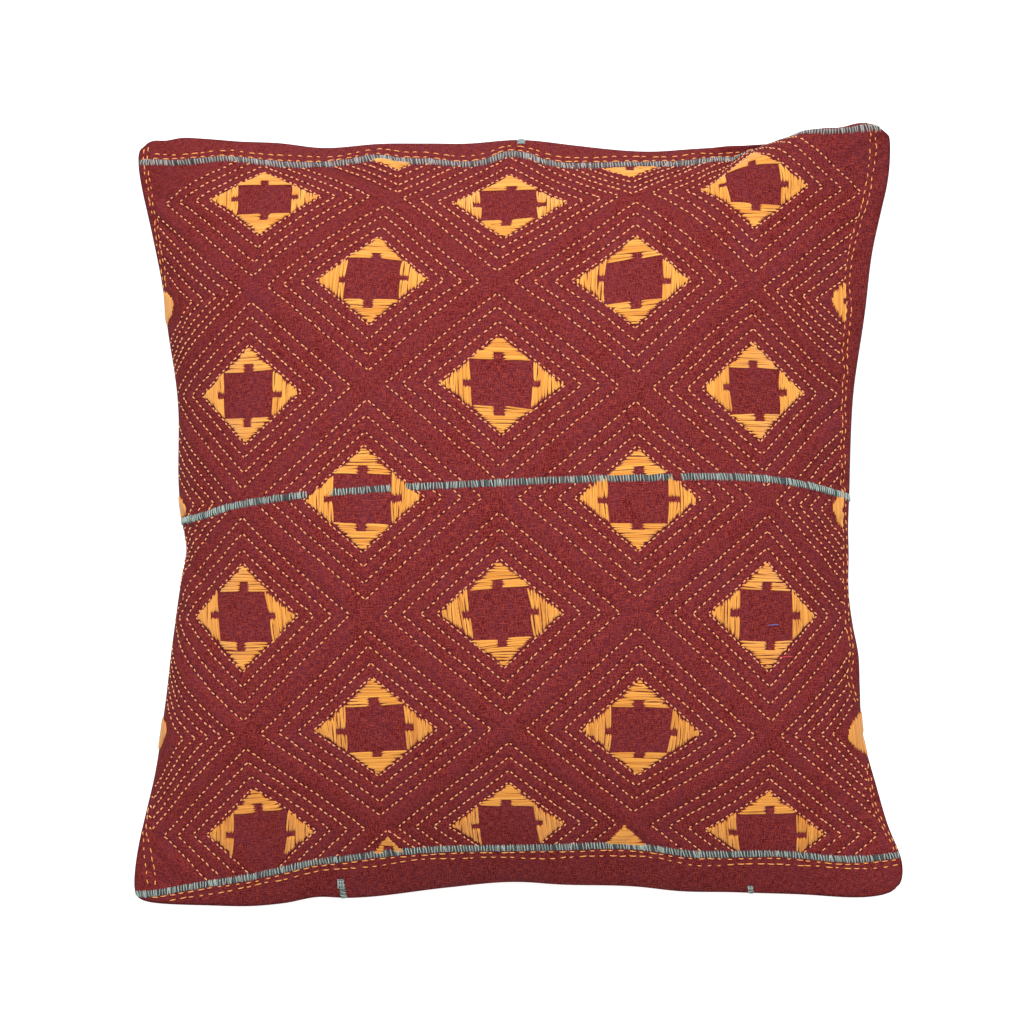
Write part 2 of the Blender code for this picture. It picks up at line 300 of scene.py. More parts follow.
# Teal bands: lattice column and row of places along each
BAND_PATHS = {
    "band_top": (
        (-3.40, 0.43), (-3.04, 0.385), (-2.61, 0.375), (-2.29, 0.30), (-1.82, 0.39), (-1.44, 0.37),
        (-1.03, 0.28), (-0.85, 0.35), (-0.65, 0.345), (-0.41, 0.385), (-0.16, 0.32), (-0.06, 0.25),
        (0.42, 0.365), (0.90, 0.28), (1.40, 0.315), (1.60, 0.345), (1.80, 0.31), (2.00, 0.28),
        (2.20, 0.31), (2.40, 0.40), (2.60, 0.42), (2.80, 0.43), (2.95, 0.39), (3.06, 0.36),
    ),
    "band_middle": (
        (-3.13, 4.13), (-2.45, 4.115), (-2.10, 4.03), (-1.45, 3.945), (-1.17, 3.935), (1.68, 3.80),
        (2.31, 3.81), (2.97, 3.855),
    ),
    "band_bottom": (
        (-3.30, 7.61), (-2.85, 7.53), (-2.34, 7.435), (-0.77, 7.24), (0.08, 7.26), (1.13, 7.245),
        (1.41, 7.265), (2.04, 7.21), (2.69, 7.25), (3.10, 7.20),
    ),
}

# Columns that a band leaves bare at a seam
BAND_END = 0.004

# Width of each band as a share of the band width
BAND_SHARES = {"band_top": 0.93, "band_middle": 1.15, "band_bottom": 1.07}

# A band stitch's slant and its chance in mm, its least and greatest length as shares of the
# width, and how far it wanders, in mm across the band and in pitches along it
BAND_SLANT, BAND_UNEVEN, BAND_WANDER = (0.25, 0.22), (0.88, 1.10), 0.12

# Tones of the light and the dark stitches, and how many of them have changed places
BAND_TONES = {"light band": (0.5, 1.1), "dark band": (-0.3, 0.1)}
BAND_CHANGED = 0.08

# Where satin lies over the middle band, in mm across the page: from, to
BAND_COVERED = ((-119.5, -107.7), (-72.2, -63.5), (85.9, 91.0))

# Teal tacks over the edge: first and last column and row, width, strands laid along it
TACKS = {
    "tack_bottom_left": (-1.352, 7.47, -1.332, 7.65, 4.4 * MM, 3),
    "tack_bottom_right": (1.850, 7.57, 1.853, 7.65, 3.6 * MM, 2),
    "tack_top": (0.10, 0.0, 0.10, 0.075, 5.4 * MM, 0),
}

# Pitch of their stitches, least and greatest width of one as shares of the tack's, its slant
# in rows, and the part of the tack that the strands run along
TACK_PITCH, TACK_UNEVEN, TACK_SLANT, STRAND_REACH = 0.95 * MM, (0.85, 1.1), 0.004, 0.55

# Border rows of each side: lattice row, then how far in from the outline in mm the outer and
# the inner row lie. Where they are below nought the rows have gone over the edge.
BORDERS = {
    -1: (
        (0.10, 3.2, 5.6), (0.50, 3.2, 5.2), (1.00, 2.9, 4.3), (1.40, 1.4, 2.9), (1.90, 0.3, 1.6),
        (2.20, -2.0, -1.0), (6.40, -2.0, -1.0), (6.75, -0.6, 1.2), (6.93, 0.6, 2.3),
        (7.05, 2.8, 5.4), (7.20, 4.2, 8.1), (7.38, 6.5, 11.1), (7.50, 8.8, 12.2),
    ),
    1: (
        (0.12, 12.5, 17.0), (0.40, 10.6, 14.0), (0.60, 9.5, 12.9), (1.10, 9.6, 12.6),
        (1.50, 11.0, 14.0), (1.80, 10.3, 13.2), (2.00, 7.6, 10.2), (2.40, 6.2, 8.8), (2.80, 4.2, 6.2),
        (3.30, 3.1, 4.8), (3.70, 2.7, 4.2), (4.25, 0.9, 2.6), (4.85, 0.8, 2.4), (5.10, 1.6, 3.2),
        (5.37, 2.4, 3.9), (5.52, 4.0, 6.2), (5.73, 1.6, 3.0), (5.82, -1.5, -0.6),
        (6.22, -1.5, -0.6), (6.32, 0.6, 2.0), (6.54, 2.7, 4.4), (6.72, 3.0, 4.6),
        (6.87, 2.4, 4.2), (7.00, 1.1, 3.0), (7.15, 0.6, 2.4),
    ),
}

# Pitch of the border rows over the running rows', part of it that shows, and unevenness
BORDER_PITCH, BORDER_SHARE = 1.3, 0.64
BORDER_CHANCE = {"wander": 0.14, "uneven": 0.3}

# Rows beside the outer bands: band, side of it, distance in mm, uneven waves in mm, last column
BESIDE_BANDS = (
    ("band_top", -1, 2.1, 0.1, 2.15),
    ("band_top", -1, 4.6, 0.2, 2.1),
    ("band_bottom", 1, 2.6, 0.15, 3.0),
    ("band_bottom", 1, 5.6, 0.35, 3.0),
)

# Their pitch over the border rows', and part of it that shows
BESIDE_PITCH, BESIDE_SHARE = 1.2, 0.68

# Satin cut off by the side borders: tip column, base column, first row, last row, tip row
SIDE_SATIN = (
    (-2.765, -2.945, 1.77, 2.15, 1.95),
    (-2.655, -2.845, 3.89, 4.14, 4.03),
    (-2.785, -2.985, 5.78, 6.09, 5.90),
    (2.655, 2.765, 1.79, 2.20, 1.97),
    (2.645, 2.765, 3.80, 4.15, 3.97),
    (2.690, 2.925, 5.79, 6.22, 6.03),
)

# Half the gap in rows that parts the last threads on the right
PARTED = 0.018

# Satin above the bottom band: tip column, tip row, half width and height down to the band
BOTTOM_SATIN = ((-0.95, 7.075, 0.125, 0.165), (0.93, 7.01, 0.165, 0.21))

# The first of them: share of its height at which its notch starts, half the notch in columns,
# and the rows from its tip up to the running row over it
BOTTOM_NOTCH, BOTTOM_PARTED, TIP_ROW_GAP = 0.62, 0.036, 0.07

# Middles of the two diamonds that the top band cuts, where they differ from the lattice
MIDDLES = {(-1, 0): (-0.91, 0.06), (1, 0): (0.98, 0.14)}

# The one soft lamp: place, size and power
LAMP_PLACE, LAMP_SIZE, LAMP_POWER = (0.0, 1.1, 3.0), 1.5, 140.0

# The camera straight above: place on the page, height over the seam, width of what it sees
CAMERA_PLACE, CAMERA_HEIGHT, CAMERA_SEES = (-4.1 * MM, 2.0 * MM), 8.0, 0.5796
CAMERA_SENSOR = 36

# Points and normals of the finished face, filled in by SewCover
sewn = {}


def curve_through(x, knots, values, slopes=None):
    """Smooth curve through values at knots: a cubic between each two, straight past the ends."""
    pairs = list(zip(knots, knots[1:], values, values[1:]))
    steps = [after - before for before, after, _, _ in pairs]
    rises = [(high - low) / step for (_, _, low, high), step in zip(pairs, steps)]
    if slopes is None:
        inner = [
            (rises[k] * steps[k + 1] + rises[k + 1] * steps[k]) / (steps[k] + steps[k + 1])
            for k in range(len(steps) - 1)
        ]
        slopes = [rises[0], *inner, rises[-1]]
    result = values[0] + slopes[0] * (x - knots[0])
    for k, (start, _, low, high) in enumerate(pairs):
        t = np.clip((x - start) / steps[k], 0, 1)
        bend = steps[k] * (slopes[k] * t * (1 - t) ** 2 - slopes[k + 1] * t**2 * (1 - t))
        value = low + (high - low) * t**2 * (3 - 2 * t) + bend
        result = np.where(x >= start, value, result)
    past = values[-1] + slopes[-1] * (x - knots[-1])
    return np.where(x > knots[-1], past, result)


def table_column(table, number, row):
    """One column of UP or ACROSS, in metres, at any lattice row."""
    rows = [line[0] for line in table]
    values = [line[number] * MM for line in table]
    return curve_through(row, rows, values)


def height_share(row):
    """-1 at the top seam, 1 at the bottom seam, in proportion between."""
    return (2 * row - TOP_ROW - BOTTOM_ROW) / (BOTTOM_ROW - TOP_ROW)


def seam_columns(row):
    """Columns of the left and right seams: from the middle's to an end's with the square of
    the height share."""
    share = height_share(row)
    seams = []
    for top, middle, bottom in (LEFT_SEAM, RIGHT_SEAM):
        seams.append(middle + (np.where(share < 0, top, bottom) - middle) * share**2)
    return seams


def across_share(column, row):
    """-1 at the left seam, 1 at the right seam, in proportion between."""
    left, right = seam_columns(row)
    return (2 * column - left - right) / (right - left)


def edge_shift(side, along):
    """How far the outline stands out there, in metres: a cubic through EDGES."""
    places, shifts = zip(*EDGES[side])
    return curve_through(along, places, shifts) * MM


def strayed(table, column, row):
    """How far a place strays from the even lattice: cubics along the rows and across the
    columns of ASIDE or UPWARD, nought at the seams."""
    left, right = seam_columns(row)
    values = [table_column(table, number, row) for number in range(1, 6)]
    return curve_through(column, [left, -2, -1, 0, 1, 2, right], [0 * row, *values, 0 * row])


def across_page(column, row):
    """X of a lattice place: a cubic through five columns, spread in the middle."""
    left, right = seam_columns(row)
    values = [table_column(ACROSS, n, row) for n in range(1, 6)]
    knots = [left, -ACROSS_COLUMN, 0.0, ACROSS_COLUMN, right]
    middle = 1 - height_share(row) ** 2
    rises = [(values[k + 1] - values[k]) / (knots[k + 1] - knots[k]) for k in range(4)]
    slopes = [
        rises[0] * (1 - SEAM_SQUEEZE * middle),
        rises[1] * (1 - SIDE_SQUEEZE * middle),
        (rises[1] + rises[2]) / 2 * (1 + MIDDLE_SPREAD * middle),
        rises[2] * (1 - SIDE_SQUEEZE * middle),
        rises[3] * (1 - SEAM_SQUEEZE * middle),
    ]
    return curve_through(column, knots, values, slopes) + strayed(ASIDE, column, row)


def up_page(column, row):
    """Y of a lattice place: a cubic through seven columns."""
    left, right = seam_columns(row)
    values = [table_column(UP, n, row) for n in range(1, 8)]
    even = curve_through(column, [left, *UP_COLUMNS, right], values)
    return even + strayed(UPWARD, column, row)


def ease(value):
    """0 below nought and 1 above one, with a smooth cubic between."""
    t = np.clip(value, 0, 1)
    return t * t * (3 - 2 * t)


def crested(x, y, row):
    """Page place with the cloth crowded towards the crest of the fold, and how far it drops.

    The pull is the first derivative of a bell curve over the distance beyond the crest line.
    The drop is a smooth step over that distance. Both fade out at the crest's ends and at
    the top seam.
    """
    run = np.subtract(CREST_TO, CREST_FROM)
    length = math.hypot(*run)
    run = run / length
    from_x, from_y = x - CREST_FROM[0] * MM, y - CREST_FROM[1] * MM
    ahead = (from_x * run[0] + from_y * run[1]) / (length * MM)
    beyond = from_y * run[0] - from_x * run[1]
    shown = ease(ahead / CREST_START) * ease((CREST_PAST - ahead) / CREST_FADE)
    shown = shown * ease(row / CREST_ROWS)
    share = beyond / CREST_REACH
    pull = -CREST_PULL * share * np.exp(-(share**2)) * shown
    drop = CREST_DROP * (1 + np.tanh(beyond / CREST_EDGE)) / 2 * shown
    return x - pull * run[1], y + pull * run[0], drop


def fold(column, row):
    """Bell curve across the crest of the corner's fold, rising along it from 0 to 1."""
    run = np.subtract(FOLD_END, FOLD_START)
    length = math.hypot(*run)
    ahead = ((column - FOLD_START[0]) * run[0] + (row - FOLD_START[1]) * run[1]) / length
    aside = ((column - FOLD_START[0]) * run[1] - (row - FOLD_START[1]) * run[0]) / length
    rise = np.clip(ahead / length, 0, 1)
    return rise * (2 - rise) * np.exp(-((aside / FOLD_WIDTH) ** 2))


def face_height(column, row):
    """Seam height plus crown times the product of two falling powers, plus the fold."""
    a = np.clip(np.abs(across_share(column, row)), 0, 1)
    b = np.clip(np.abs(height_share(row)), 0, 1)
    seam = SEAM_HEIGHT - CORNER_DROP * a**3 * b**3
    crown = ((1 - a**CROWN_POWER) * (1 - b**CROWN_POWER)) ** CROWN_EASE
    return seam + CROWN_HEIGHT * crown + FOLD_HEIGHT * fold(column, row)


def smooth_face(column, row):
    """Points of the face without its quilting: the four corners are rounded by high powers of
    the way out to them, less high down the page at the lifted one, and each side moves in or
    out by its shift, which fades inwards as a bell curve."""
    left, right = seam_columns(row)
    a, b = across_share(column, row), height_share(row)
    reach = np.where(b < 0, np.where(a < 0, *CORNER_ROUND[:2]), np.where(a < 0, *CORNER_ROUND[2:]))
    fall = np.where((a > 0) & (b < 0), LIFTED_POWER, CORNER_POWER)
    corner = reach * MM * np.abs(a) ** CORNER_POWER * np.abs(b) ** fall
    x = across_page(column, row) - corner * np.sign(a)
    y = up_page(column, row) + corner * np.sign(b)
    x = x - edge_shift("left", row) * np.exp(-(((column - left) / EDGE_COLUMNS) ** 2))
    x = x + edge_shift("right", row) * np.exp(-(((right - column) / EDGE_COLUMNS) ** 2))
    y = y + edge_shift("top", column) * np.exp(-(((row - TOP_ROW) / EDGE_ROWS) ** 2))
    y = y - edge_shift("bottom", column) * np.exp(-(((BOTTOM_ROW - row) / EDGE_ROWS) ** 2))
    x, y, drop = crested(x, y, row)
    return np.stack([x, y, face_height(column, row) - drop], axis=-1)


def band_row(name, column):
    """Lattice row of a teal band: a cubic through its places."""
    columns, rows = zip(*BAND_PATHS[name])
    return curve_through(column, columns, rows)


def from_odd(number):
    """Distance to the nearest odd whole number with its sign: the remainder by 2, less 1."""
    return number % 2 - 1


def diamond_distance(column, row):
    """0 in a diamond's middle, 1 in the plain ground between: the larger diagonal distance."""
    return np.maximum(np.abs(from_odd(column + row)), np.abs(from_odd(column - row)))


def unit(vectors):
    """Vectors divided by their lengths."""
    return vectors / np.maximum(np.linalg.norm(vectors, axis=-1, keepdims=True), 1e-12)


def lattice_grid(across, down):
    """Columns and rows of a grid from seam to seam, in even shares of the width and height."""
    rows = np.repeat(np.linspace(TOP_ROW, BOTTOM_ROW, down + 1)[:, None], across + 1, axis=1)
    left, right = seam_columns(rows)
    return left + (right - left) * np.linspace(0, 1, across + 1), rows


def seam_loop(high, wide):
    """Grid numbers once around the seam, anticlockwise seen from above."""
    number = np.arange(high * wide).reshape(high, wide)
    bottom, right = number[-1, :-1], number[:0:-1, -1]
    top, left = number[0, :0:-1], number[:-1, 0]
    return np.concatenate([bottom, right, top, left])


def back_rings(seam, cornered, steps):
    """Rings from the seam in under the cushion: each goes a way in to the middle and down to
    a share of the seam's height, both read from BACK at even lengths along its profile."""
    ways, side, corner = (np.array(values) for values in zip(*BACK))
    reach = np.hypot(np.diff(ways) * PROFILE_WAY, np.diff(side) * PROFILE_HEIGHT)
    knots = np.concatenate([[0], np.cumsum(reach)])
    at = np.linspace(0, knots[-1], steps + 1)[1:]
    way = np.interp(at, knots, ways)
    side, corner = np.interp(at, knots, side), np.interp(at, knots, corner)
    middle = (seam.min(axis=0) + seam.max(axis=0)) / 2
    rings = seam + (middle - seam) * way[:, None, None]
    share = side[:, None] + (corner - side)[:, None] * cornered
    rings[..., 2] = seam[:, 2] * share
    return rings


def cover_form(across, down, back):
    """The closed form without quilting: the face's grid, then the back's rings."""
    columns, rows = lattice_grid(across, down)
    face = smooth_face(columns, rows)
    loop = seam_loop(down + 1, across + 1)
    around, down_page = columns.reshape(-1)[loop], rows.reshape(-1)[loop]
    cornered = np.abs(across_share(around, down_page) * height_share(down_page)) ** 2
    rings = back_rings(face.reshape(-1, 3)[loop], cornered, back)
    return columns, rows, face, rings


def cover_faces(across, down, back):
    """Quads of the face, quads between the back's rings, and triangles to its middle point."""
    number = np.arange((down + 1) * (across + 1)).reshape(down + 1, across + 1)
    quads = [number[:-1, :-1], number[1:, :-1], number[1:, 1:], number[:-1, 1:]]
    face = np.stack(quads, axis=-1).reshape(-1, 4)
    loop = seam_loop(down + 1, across + 1)
    around = len(loop)
    rings = np.arange(back * around).reshape(back, around) + number.size
    rings = np.vstack([loop, rings])
    after = np.roll(rings, -1, axis=1)
    quads = [rings[:-1], rings[1:], after[1:], after[:-1]]
    under = np.stack(quads, axis=-1).reshape(-1, 4)
    middle = np.full(around, number.size + back * around)
    fan = np.stack([after[-1], rings[-1], middle], axis=-1)
    return face.tolist(), under.tolist() + fan.tolist()


def gather(face, rings):
    """All points in one list: the face, the rings and the middle of the last ring."""
    middle = rings[-1].mean(axis=0, keepdims=True)
    return np.concatenate([face.reshape(-1, 3), rings.reshape(-1, 3), middle])


def puffed(points, faces, slack, pinned, pressure, frames):
    """Points of the form after Blender's Cloth has puffed it under a light pressure.

    The cloth is wider than the form by the slack at the seams, where it puckers.
    """
    mesh = bpy.data.meshes.new("trial_cloth")
    mesh.from_pydata(points.tolist(), [], faces)
    trial = bpy.data.objects.new("trial_cloth", mesh)
    bpy.context.scene.collection.objects.link(trial)
    group = trial.vertex_groups.new(name="slack")
    for weight in np.unique(np.round(slack, 1)):
        members = np.flatnonzero(np.round(slack, 1) == weight)
        group.add(members.tolist(), float(weight), "REPLACE")
    seams = trial.vertex_groups.new(name="seams")
    seams.add(pinned.tolist(), 1.0, "REPLACE")
    cloth = trial.modifiers.new("Cloth", "CLOTH")
    settings = cloth.settings
    settings.vertex_group_mass = "seams"
    settings.quality = 5
    settings.mass = 0.25
    settings.tension_stiffness = 6
    settings.compression_stiffness = 6
    settings.shear_stiffness = 2
    settings.bending_stiffness = 0.01
    settings.use_pressure = True
    settings.uniform_pressure_force = pressure
    settings.effector_weights.gravity = 0
    settings.vertex_group_shrink = "slack"
    settings.shrink_min = 0.0
    settings.shrink_max = -0.30
    cloth.point_cache.frame_start = 1
    cloth.point_cache.frame_end = frames
    for number in range(1, frames + 1):
        bpy.context.scene.frame_set(number)
    shaped = trial.evaluated_get(bpy.context.evaluated_depsgraph_get())
    moved = np.empty(len(points) * 3)
    shaped.data.vertices.foreach_get("co", moved)
    bpy.data.objects.remove(trial)
    bpy.data.meshes.remove(mesh)
    bpy.context.scene.frame_set(1)
    return moved.reshape(-1, 3)


def capped(move, most):
    """The same direction, with the length bent over so that it never passes the most."""
    length = np.maximum(np.linalg.norm(move, axis=-1, keepdims=True), 1e-9)
    return move / length * most * np.tanh(length / most)


def refined(values, axis, closed=False):
    """Twice as many steps along an axis, with a cubic through four neighbours at each middle."""
    values = np.moveaxis(values, axis, 0)
    if closed:
        padded = np.concatenate([values[-1:], values, values[:2]])
    else:
        first, last = 2 * values[:1] - values[1:2], 2 * values[-1:] - values[-2:-1]
        padded = np.concatenate([first, values, last])
    middles = (9 * (padded[1:-2] + padded[2:-1]) - padded[:-3] - padded[3:]) / 16
    count = len(values) + len(middles)
    result = np.empty((count, *values.shape[1:]))
    result[0::2] = values
    result[1::2] = middles
    return np.moveaxis(result, 0, axis)


def grid_normals(points):
    """Upward unit normals of a grid of points: the cross product of its two slopes."""
    return unit(np.cross(np.gradient(points, axis=0), np.gradient(points, axis=1)))


def length_to(points):
    """Length of a path up to each of its points."""
    return np.concatenate([[0], np.cumsum(np.linalg.norm(np.diff(points, axis=0), axis=1))])


def creases(column, row):
    """Depth of the slanting creases beside the side seams: the cube of a sine over the row plus
    a share of the column's distance from the middle, in mm. It swells and sinks along the
    seam and dies out inwards as a bell curve."""
    left, right = seam_columns(row)
    inwards = np.minimum(column - left, right - column)
    along = row + CREASE_SLANT * np.abs(column)
    wander, turn = CREASE_WANDER
    wave = np.sin(2 * math.pi * (along / CREASE_APART + wander * np.sin(turn * along)))
    least, swell, turn, between = CREASE_SWELL
    swell = least + swell * np.sin(turn * row + between * np.sign(column))
    fade = np.exp(-((inwards / CREASE_REACH) ** 2))
    return CREASE_DEPTH * np.maximum(wave, 0) ** 3 * swell * fade


def relief(column, row, puff):
    """Height of the quilting: the RELIEF profile over the diamond distance, in mm, less the
    creases, faded out at the seams and flattened under the teal bands."""
    height = np.interp(diamond_distance(column, row), *zip(*RELIEF)) - creases(column, row)
    left, right = seam_columns(row)
    sides = np.minimum(column - left, right - column) / RELIEF_SIDES
    ends = np.minimum(row - band_row("band_top", column), band_row("band_bottom", column) - row)
    fade = np.clip(np.minimum(sides, ends / RELIEF_ENDS), 0, 1)
    for name in BAND_PATHS:
        bed = np.exp(-(((row - band_row(name, column)) / BED_WIDTH) ** 2))
        fade = fade * (1 - bed)
        height = height - BED_DEPTH * bed
    return height * fade * MM * puff


def on_face(columns, rows):
    """Points and normals of the finished face, bilinear between its grid points."""
    points, normals = sewn["points"], sewn["normals"]
    high, wide = points.shape[:2]
    left, right = seam_columns(rows)
    a = np.clip((columns - left) / (right - left), 0, 1) * (wide - 1)
    b = np.clip((rows - TOP_ROW) / (BOTTOM_ROW - TOP_ROW), 0, 1) * (high - 1)
    i, j = np.minimum(a.astype(int), wide - 2), np.minimum(b.astype(int), high - 2)
    s, t = (a - i)[..., None], (b - j)[..., None]
    read = []
    for grid in (points, normals):
        above = grid[j, i] * (1 - s) + grid[j, i + 1] * s
        below = grid[j + 1, i] * (1 - s) + grid[j + 1, i + 1] * s
        read.append(above * (1 - t) + below * t)
    return read[0], unit(read[1])


def page_cell(columns, rows, step=0.02):
    """Width and height of a lattice cell as seen from above, at a place on the face, from the
    places a step to each side of it. Neither is less than a share of the flat cell's."""
    wide = across_page(columns + step, rows) - across_page(columns - step, rows)
    high = up_page(columns, rows - step) - up_page(columns, rows + step)
    wide, high = wide / (2 * step), high / (2 * step)
    return np.maximum(wide, CELL_WIDTH / 3), np.maximum(high, CELL_HEIGHT / 2.2)


def math_node(operation):
    """A method of Value that adds one Math node."""

    def method(self, other=0.0):
        return self.recipe.math(operation, self, other)

    return method


class Value:
    """A socket whose sums, products and remainders add Math nodes."""

    def __init__(self, recipe, socket):
        self.recipe = recipe
        self.socket = socket

    def __rsub__(self, other):
        return self.recipe.math("SUBTRACT", other, self)

    __add__ = math_node("ADD")
    __sub__ = math_node("SUBTRACT")
    __mul__ = math_node("MULTIPLY")
    __truediv__ = math_node("DIVIDE")
    __mod__ = math_node("FLOORED_MODULO")
    __gt__ = math_node("GREATER_THAN")
    __abs__ = math_node("ABSOLUTE")
    __radd__ = __add__
    __rmul__ = __mul__


class Recipe:
    """A material and the nodes that make its finish."""

    def __init__(self, name, roughness, sheen=0.0, specular=0.5):
        self.material = bpy.data.materials.new(name)
        self.material.use_nodes = True
        self.tree = self.material.node_tree
        self.shader = self.tree.nodes["Principled BSDF"]
        self.shader.inputs["Roughness"].default_value = roughness
        self.shader.inputs["Sheen Weight"].default_value = sheen
        self.shader.inputs["Sheen Roughness"].default_value = 0.4
        self.shader.inputs["Specular IOR Level"].default_value = specular

    def add(self, kind, settings, inputs, output=0):
        """One node of a type, with its settings first and then its inputs, as a Value."""
        node = self.tree.nodes.new("ShaderNode" + kind)
        for name, setting in settings.items():
            if name == "stops":
                self.stops(node.color_ramp, setting)
            else:
                setattr(node, name, setting)
        for name, value in inputs.items():
            self.fill(node.inputs[name], value)
        return Value(self, node.outputs[output])

    def stops(self, ramp, stops):
        """Stops of a ramp, each a position and a grey."""
        while len(ramp.elements) < len(stops):
            ramp.elements.new(0.5)
        for element, (position, grey) in zip(ramp.elements, stops):
            element.position = position
            element.color = (grey, grey, grey, 1)

    def fill(self, socket, value):
        """A link from a Value, or a number or colour set on the socket."""
        if isinstance(value, Value):
            self.tree.links.new(value.socket, socket)
        elif socket.type == "RGBA" and len(value) == 3:
            socket.default_value = (*value, 1)
        else:
            socket.default_value = value

    def math(self, operation, first, second=0.0, clamp=False):
        settings = {"operation": operation, "use_clamp": clamp}
        return self.add("Math", settings, {0: first, 1: second})

    def clamp(self, value):
        return self.math("ADD", value, 0.0, clamp=True)

    def sine(self, value):
        return self.math("SINE", value)

    def map(self, name):
        """The two numbers of a UV map."""
        place = self.add("UVMap", {"uv_map": name}, {})
        node = self.add("SeparateXYZ", {}, {0: place}).socket.node
        return Value(self, node.outputs[0]), Value(self, node.outputs[1])

    def number(self, name):
        """A number that each point of the mesh carries."""
        return self.add("Attribute", {"attribute_name": name}, {}, "Fac")

    def noise(self, across, along, detail=2.0, rough=0.5):
        place = self.add("CombineXYZ", {}, {0: across, 1: along})
        inputs = {"Vector": place, "Scale": 1.0, "Detail": detail, "Roughness": rough}
        return self.add("TexNoise", {}, inputs)

    def mix(self, amount, first, second):
        return self.add("Mix", {"data_type": "RGBA"}, {0: amount, 6: first, 7: second}, 2)

    def ramp(self, value, stops, interpolation="LINEAR"):
        """A curve of one number over another, through its stops."""
        result = self.add("ValToRGB", {"stops": stops}, {0: value})
        result.socket.node.color_ramp.interpolation = interpolation
        return result

    def finish(self, colour, height):
        """Colour and height in metres to the shader, through one Bump node."""
        bump = self.add("Bump", {}, {"Strength": 1.0, "Distance": 1.0, "Height": height})
        self.fill(self.shader.inputs["Base Color"], colour)
        self.fill(self.shader.inputs["Normal"], bump)
        return self.material


def cotton(name, light, dark, plum, quilted):
    """Plain-woven maroon cotton: red threads crossed by dark ones, with slubs and patches.

    The face's has the dents of the running rows, where the diamond distance meets a row
    and the number of the field between the borders is over a half. Beside the side seams
    the rows are those of the diamonds there. The dents are darkened in patches, for needle
    holes and painted shade.
    """
    recipe = Recipe(name, 0.9, specular=0.04)
    u, v = recipe.map("cloth")
    warp = recipe.noise(u * 1900, v * 300)
    weft = recipe.noise(u * 260, v * 1900)
    fleck = recipe.noise(u * 1750, v * 1750, 1.0)
    patch = recipe.noise(u * 60, v * 34, 6.0, 0.7)
    amount = (warp - 0.5) * 3.0 + (weft - 0.5) * 2.6 + (fleck - 0.5) * 4.2 + (patch - 0.5) * 1.3
    amount = recipe.clamp(amount + 0.50)
    colour = recipe.mix(amount, dark, light)
    tinge = recipe.noise(u * 300 + 7.0, v * 2000, 1.0)
    purple = recipe.clamp((patch - 0.5) * 1.7 + (tinge - 0.5) * 3.0 + 0.30)
    colour = recipe.mix(purple, colour, plum)
    turn = 2 * math.pi / WEAVE_PITCH
    weave = recipe.sine(u * turn) * recipe.sine(v * turn) * (0.05 * MM)
    height = weave + (warp + weft) * (0.09 * MM)
    if quilted:
        column, row = u / CELL_WIDTH, v / CELL_HEIGHT
        first, second = abs((column + row) % 2 - 1), abs((column - row) % 2 - 1)
        distance = recipe.math("MAXIMUM", first, second)
        dents = []
        for rings in ((SATIN_EDGE, *RUNNING_ROWS), SIDE_ROWS):
            stops = [(0.0, 0.0)]
            for at in rings:
                stops += [(at - DENT_HALF, 0.0), (at, 1.0), (at + DENT_HALF, 0.0)]
            dents.append(recipe.ramp(distance, stops, "EASE"))
        # Nearer to a diamond at a side seam than to any other
        beside = (abs(column) + abs(row % 2 - 1)) > 3.0
        dent = dents[0] * (1 - beside) + dents[1] * beside
        dent = dent * (recipe.number("field") > 0.5)
        # Needle holes and painted shade: the dents are darkened in patches towards a near-black
        # colour
        gap = recipe.ramp(recipe.noise(u * 330, v * 330, 0.0), [(0.42, 0.25), (0.62, 1.0)])
        colour = recipe.mix(dent * gap * DENT_HOLES_AND_SHADE_AMOUNT, colour, DENT_HOLES_AND_SHADE_COLOUR)
        height = height - dent * DENT_DEPTH
    return recipe.finish(colour, height)


def embroidery_cotton(name, light, dark):
    """Loosely twisted thread: slanting plies along it, each thread in a tone of its own."""
    recipe = Recipe(name, 0.55, sheen=0.12)
    along, around = recipe.map("thread")
    tone = recipe.number("tone")
    ply = recipe.sine((along * 3.2 + around * 2) * (2 * math.pi))
    fibre = recipe.noise(along * 1.5, around * 9, 3.0)
    amount = recipe.clamp(tone * 0.75 + (fibre - 0.5) * 0.7 + ply * 0.10 + 0.15)
    colour = recipe.mix(amount, dark, light)
    return recipe.finish(colour, ply * (0.05 * MM) + fibre * (0.06 * MM))


def new_piece(name, points, faces, materials, slots=None):
    """A mesh object at the origin, smooth shaded, riding on the root body."""
    mesh = bpy.data.meshes.new(name)
    mesh.from_pydata(np.asarray(points).tolist(), [], faces)
    for material in materials:
        mesh.materials.append(material)
    if slots is not None:
        mesh.polygons.foreach_set("material_index", slots)
    mesh.shade_smooth()
    piece = bpy.data.objects.new(name, mesh)
    bpy.context.scene.collection.objects.link(piece)
    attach(piece, "root")
    return piece


def give_map(piece, name, places):
    """A UV map from one place for each corner."""
    layer = piece.data.uv_layers.new(name=name)
    layer.data.foreach_set("uv", places.reshape(-1))


def give_number(piece, name, values):
    """An attribute with one number for each point."""
    layer = piece.data.attributes.new(name, "FLOAT", "POINT")
    layer.data.foreach_set("value", values)


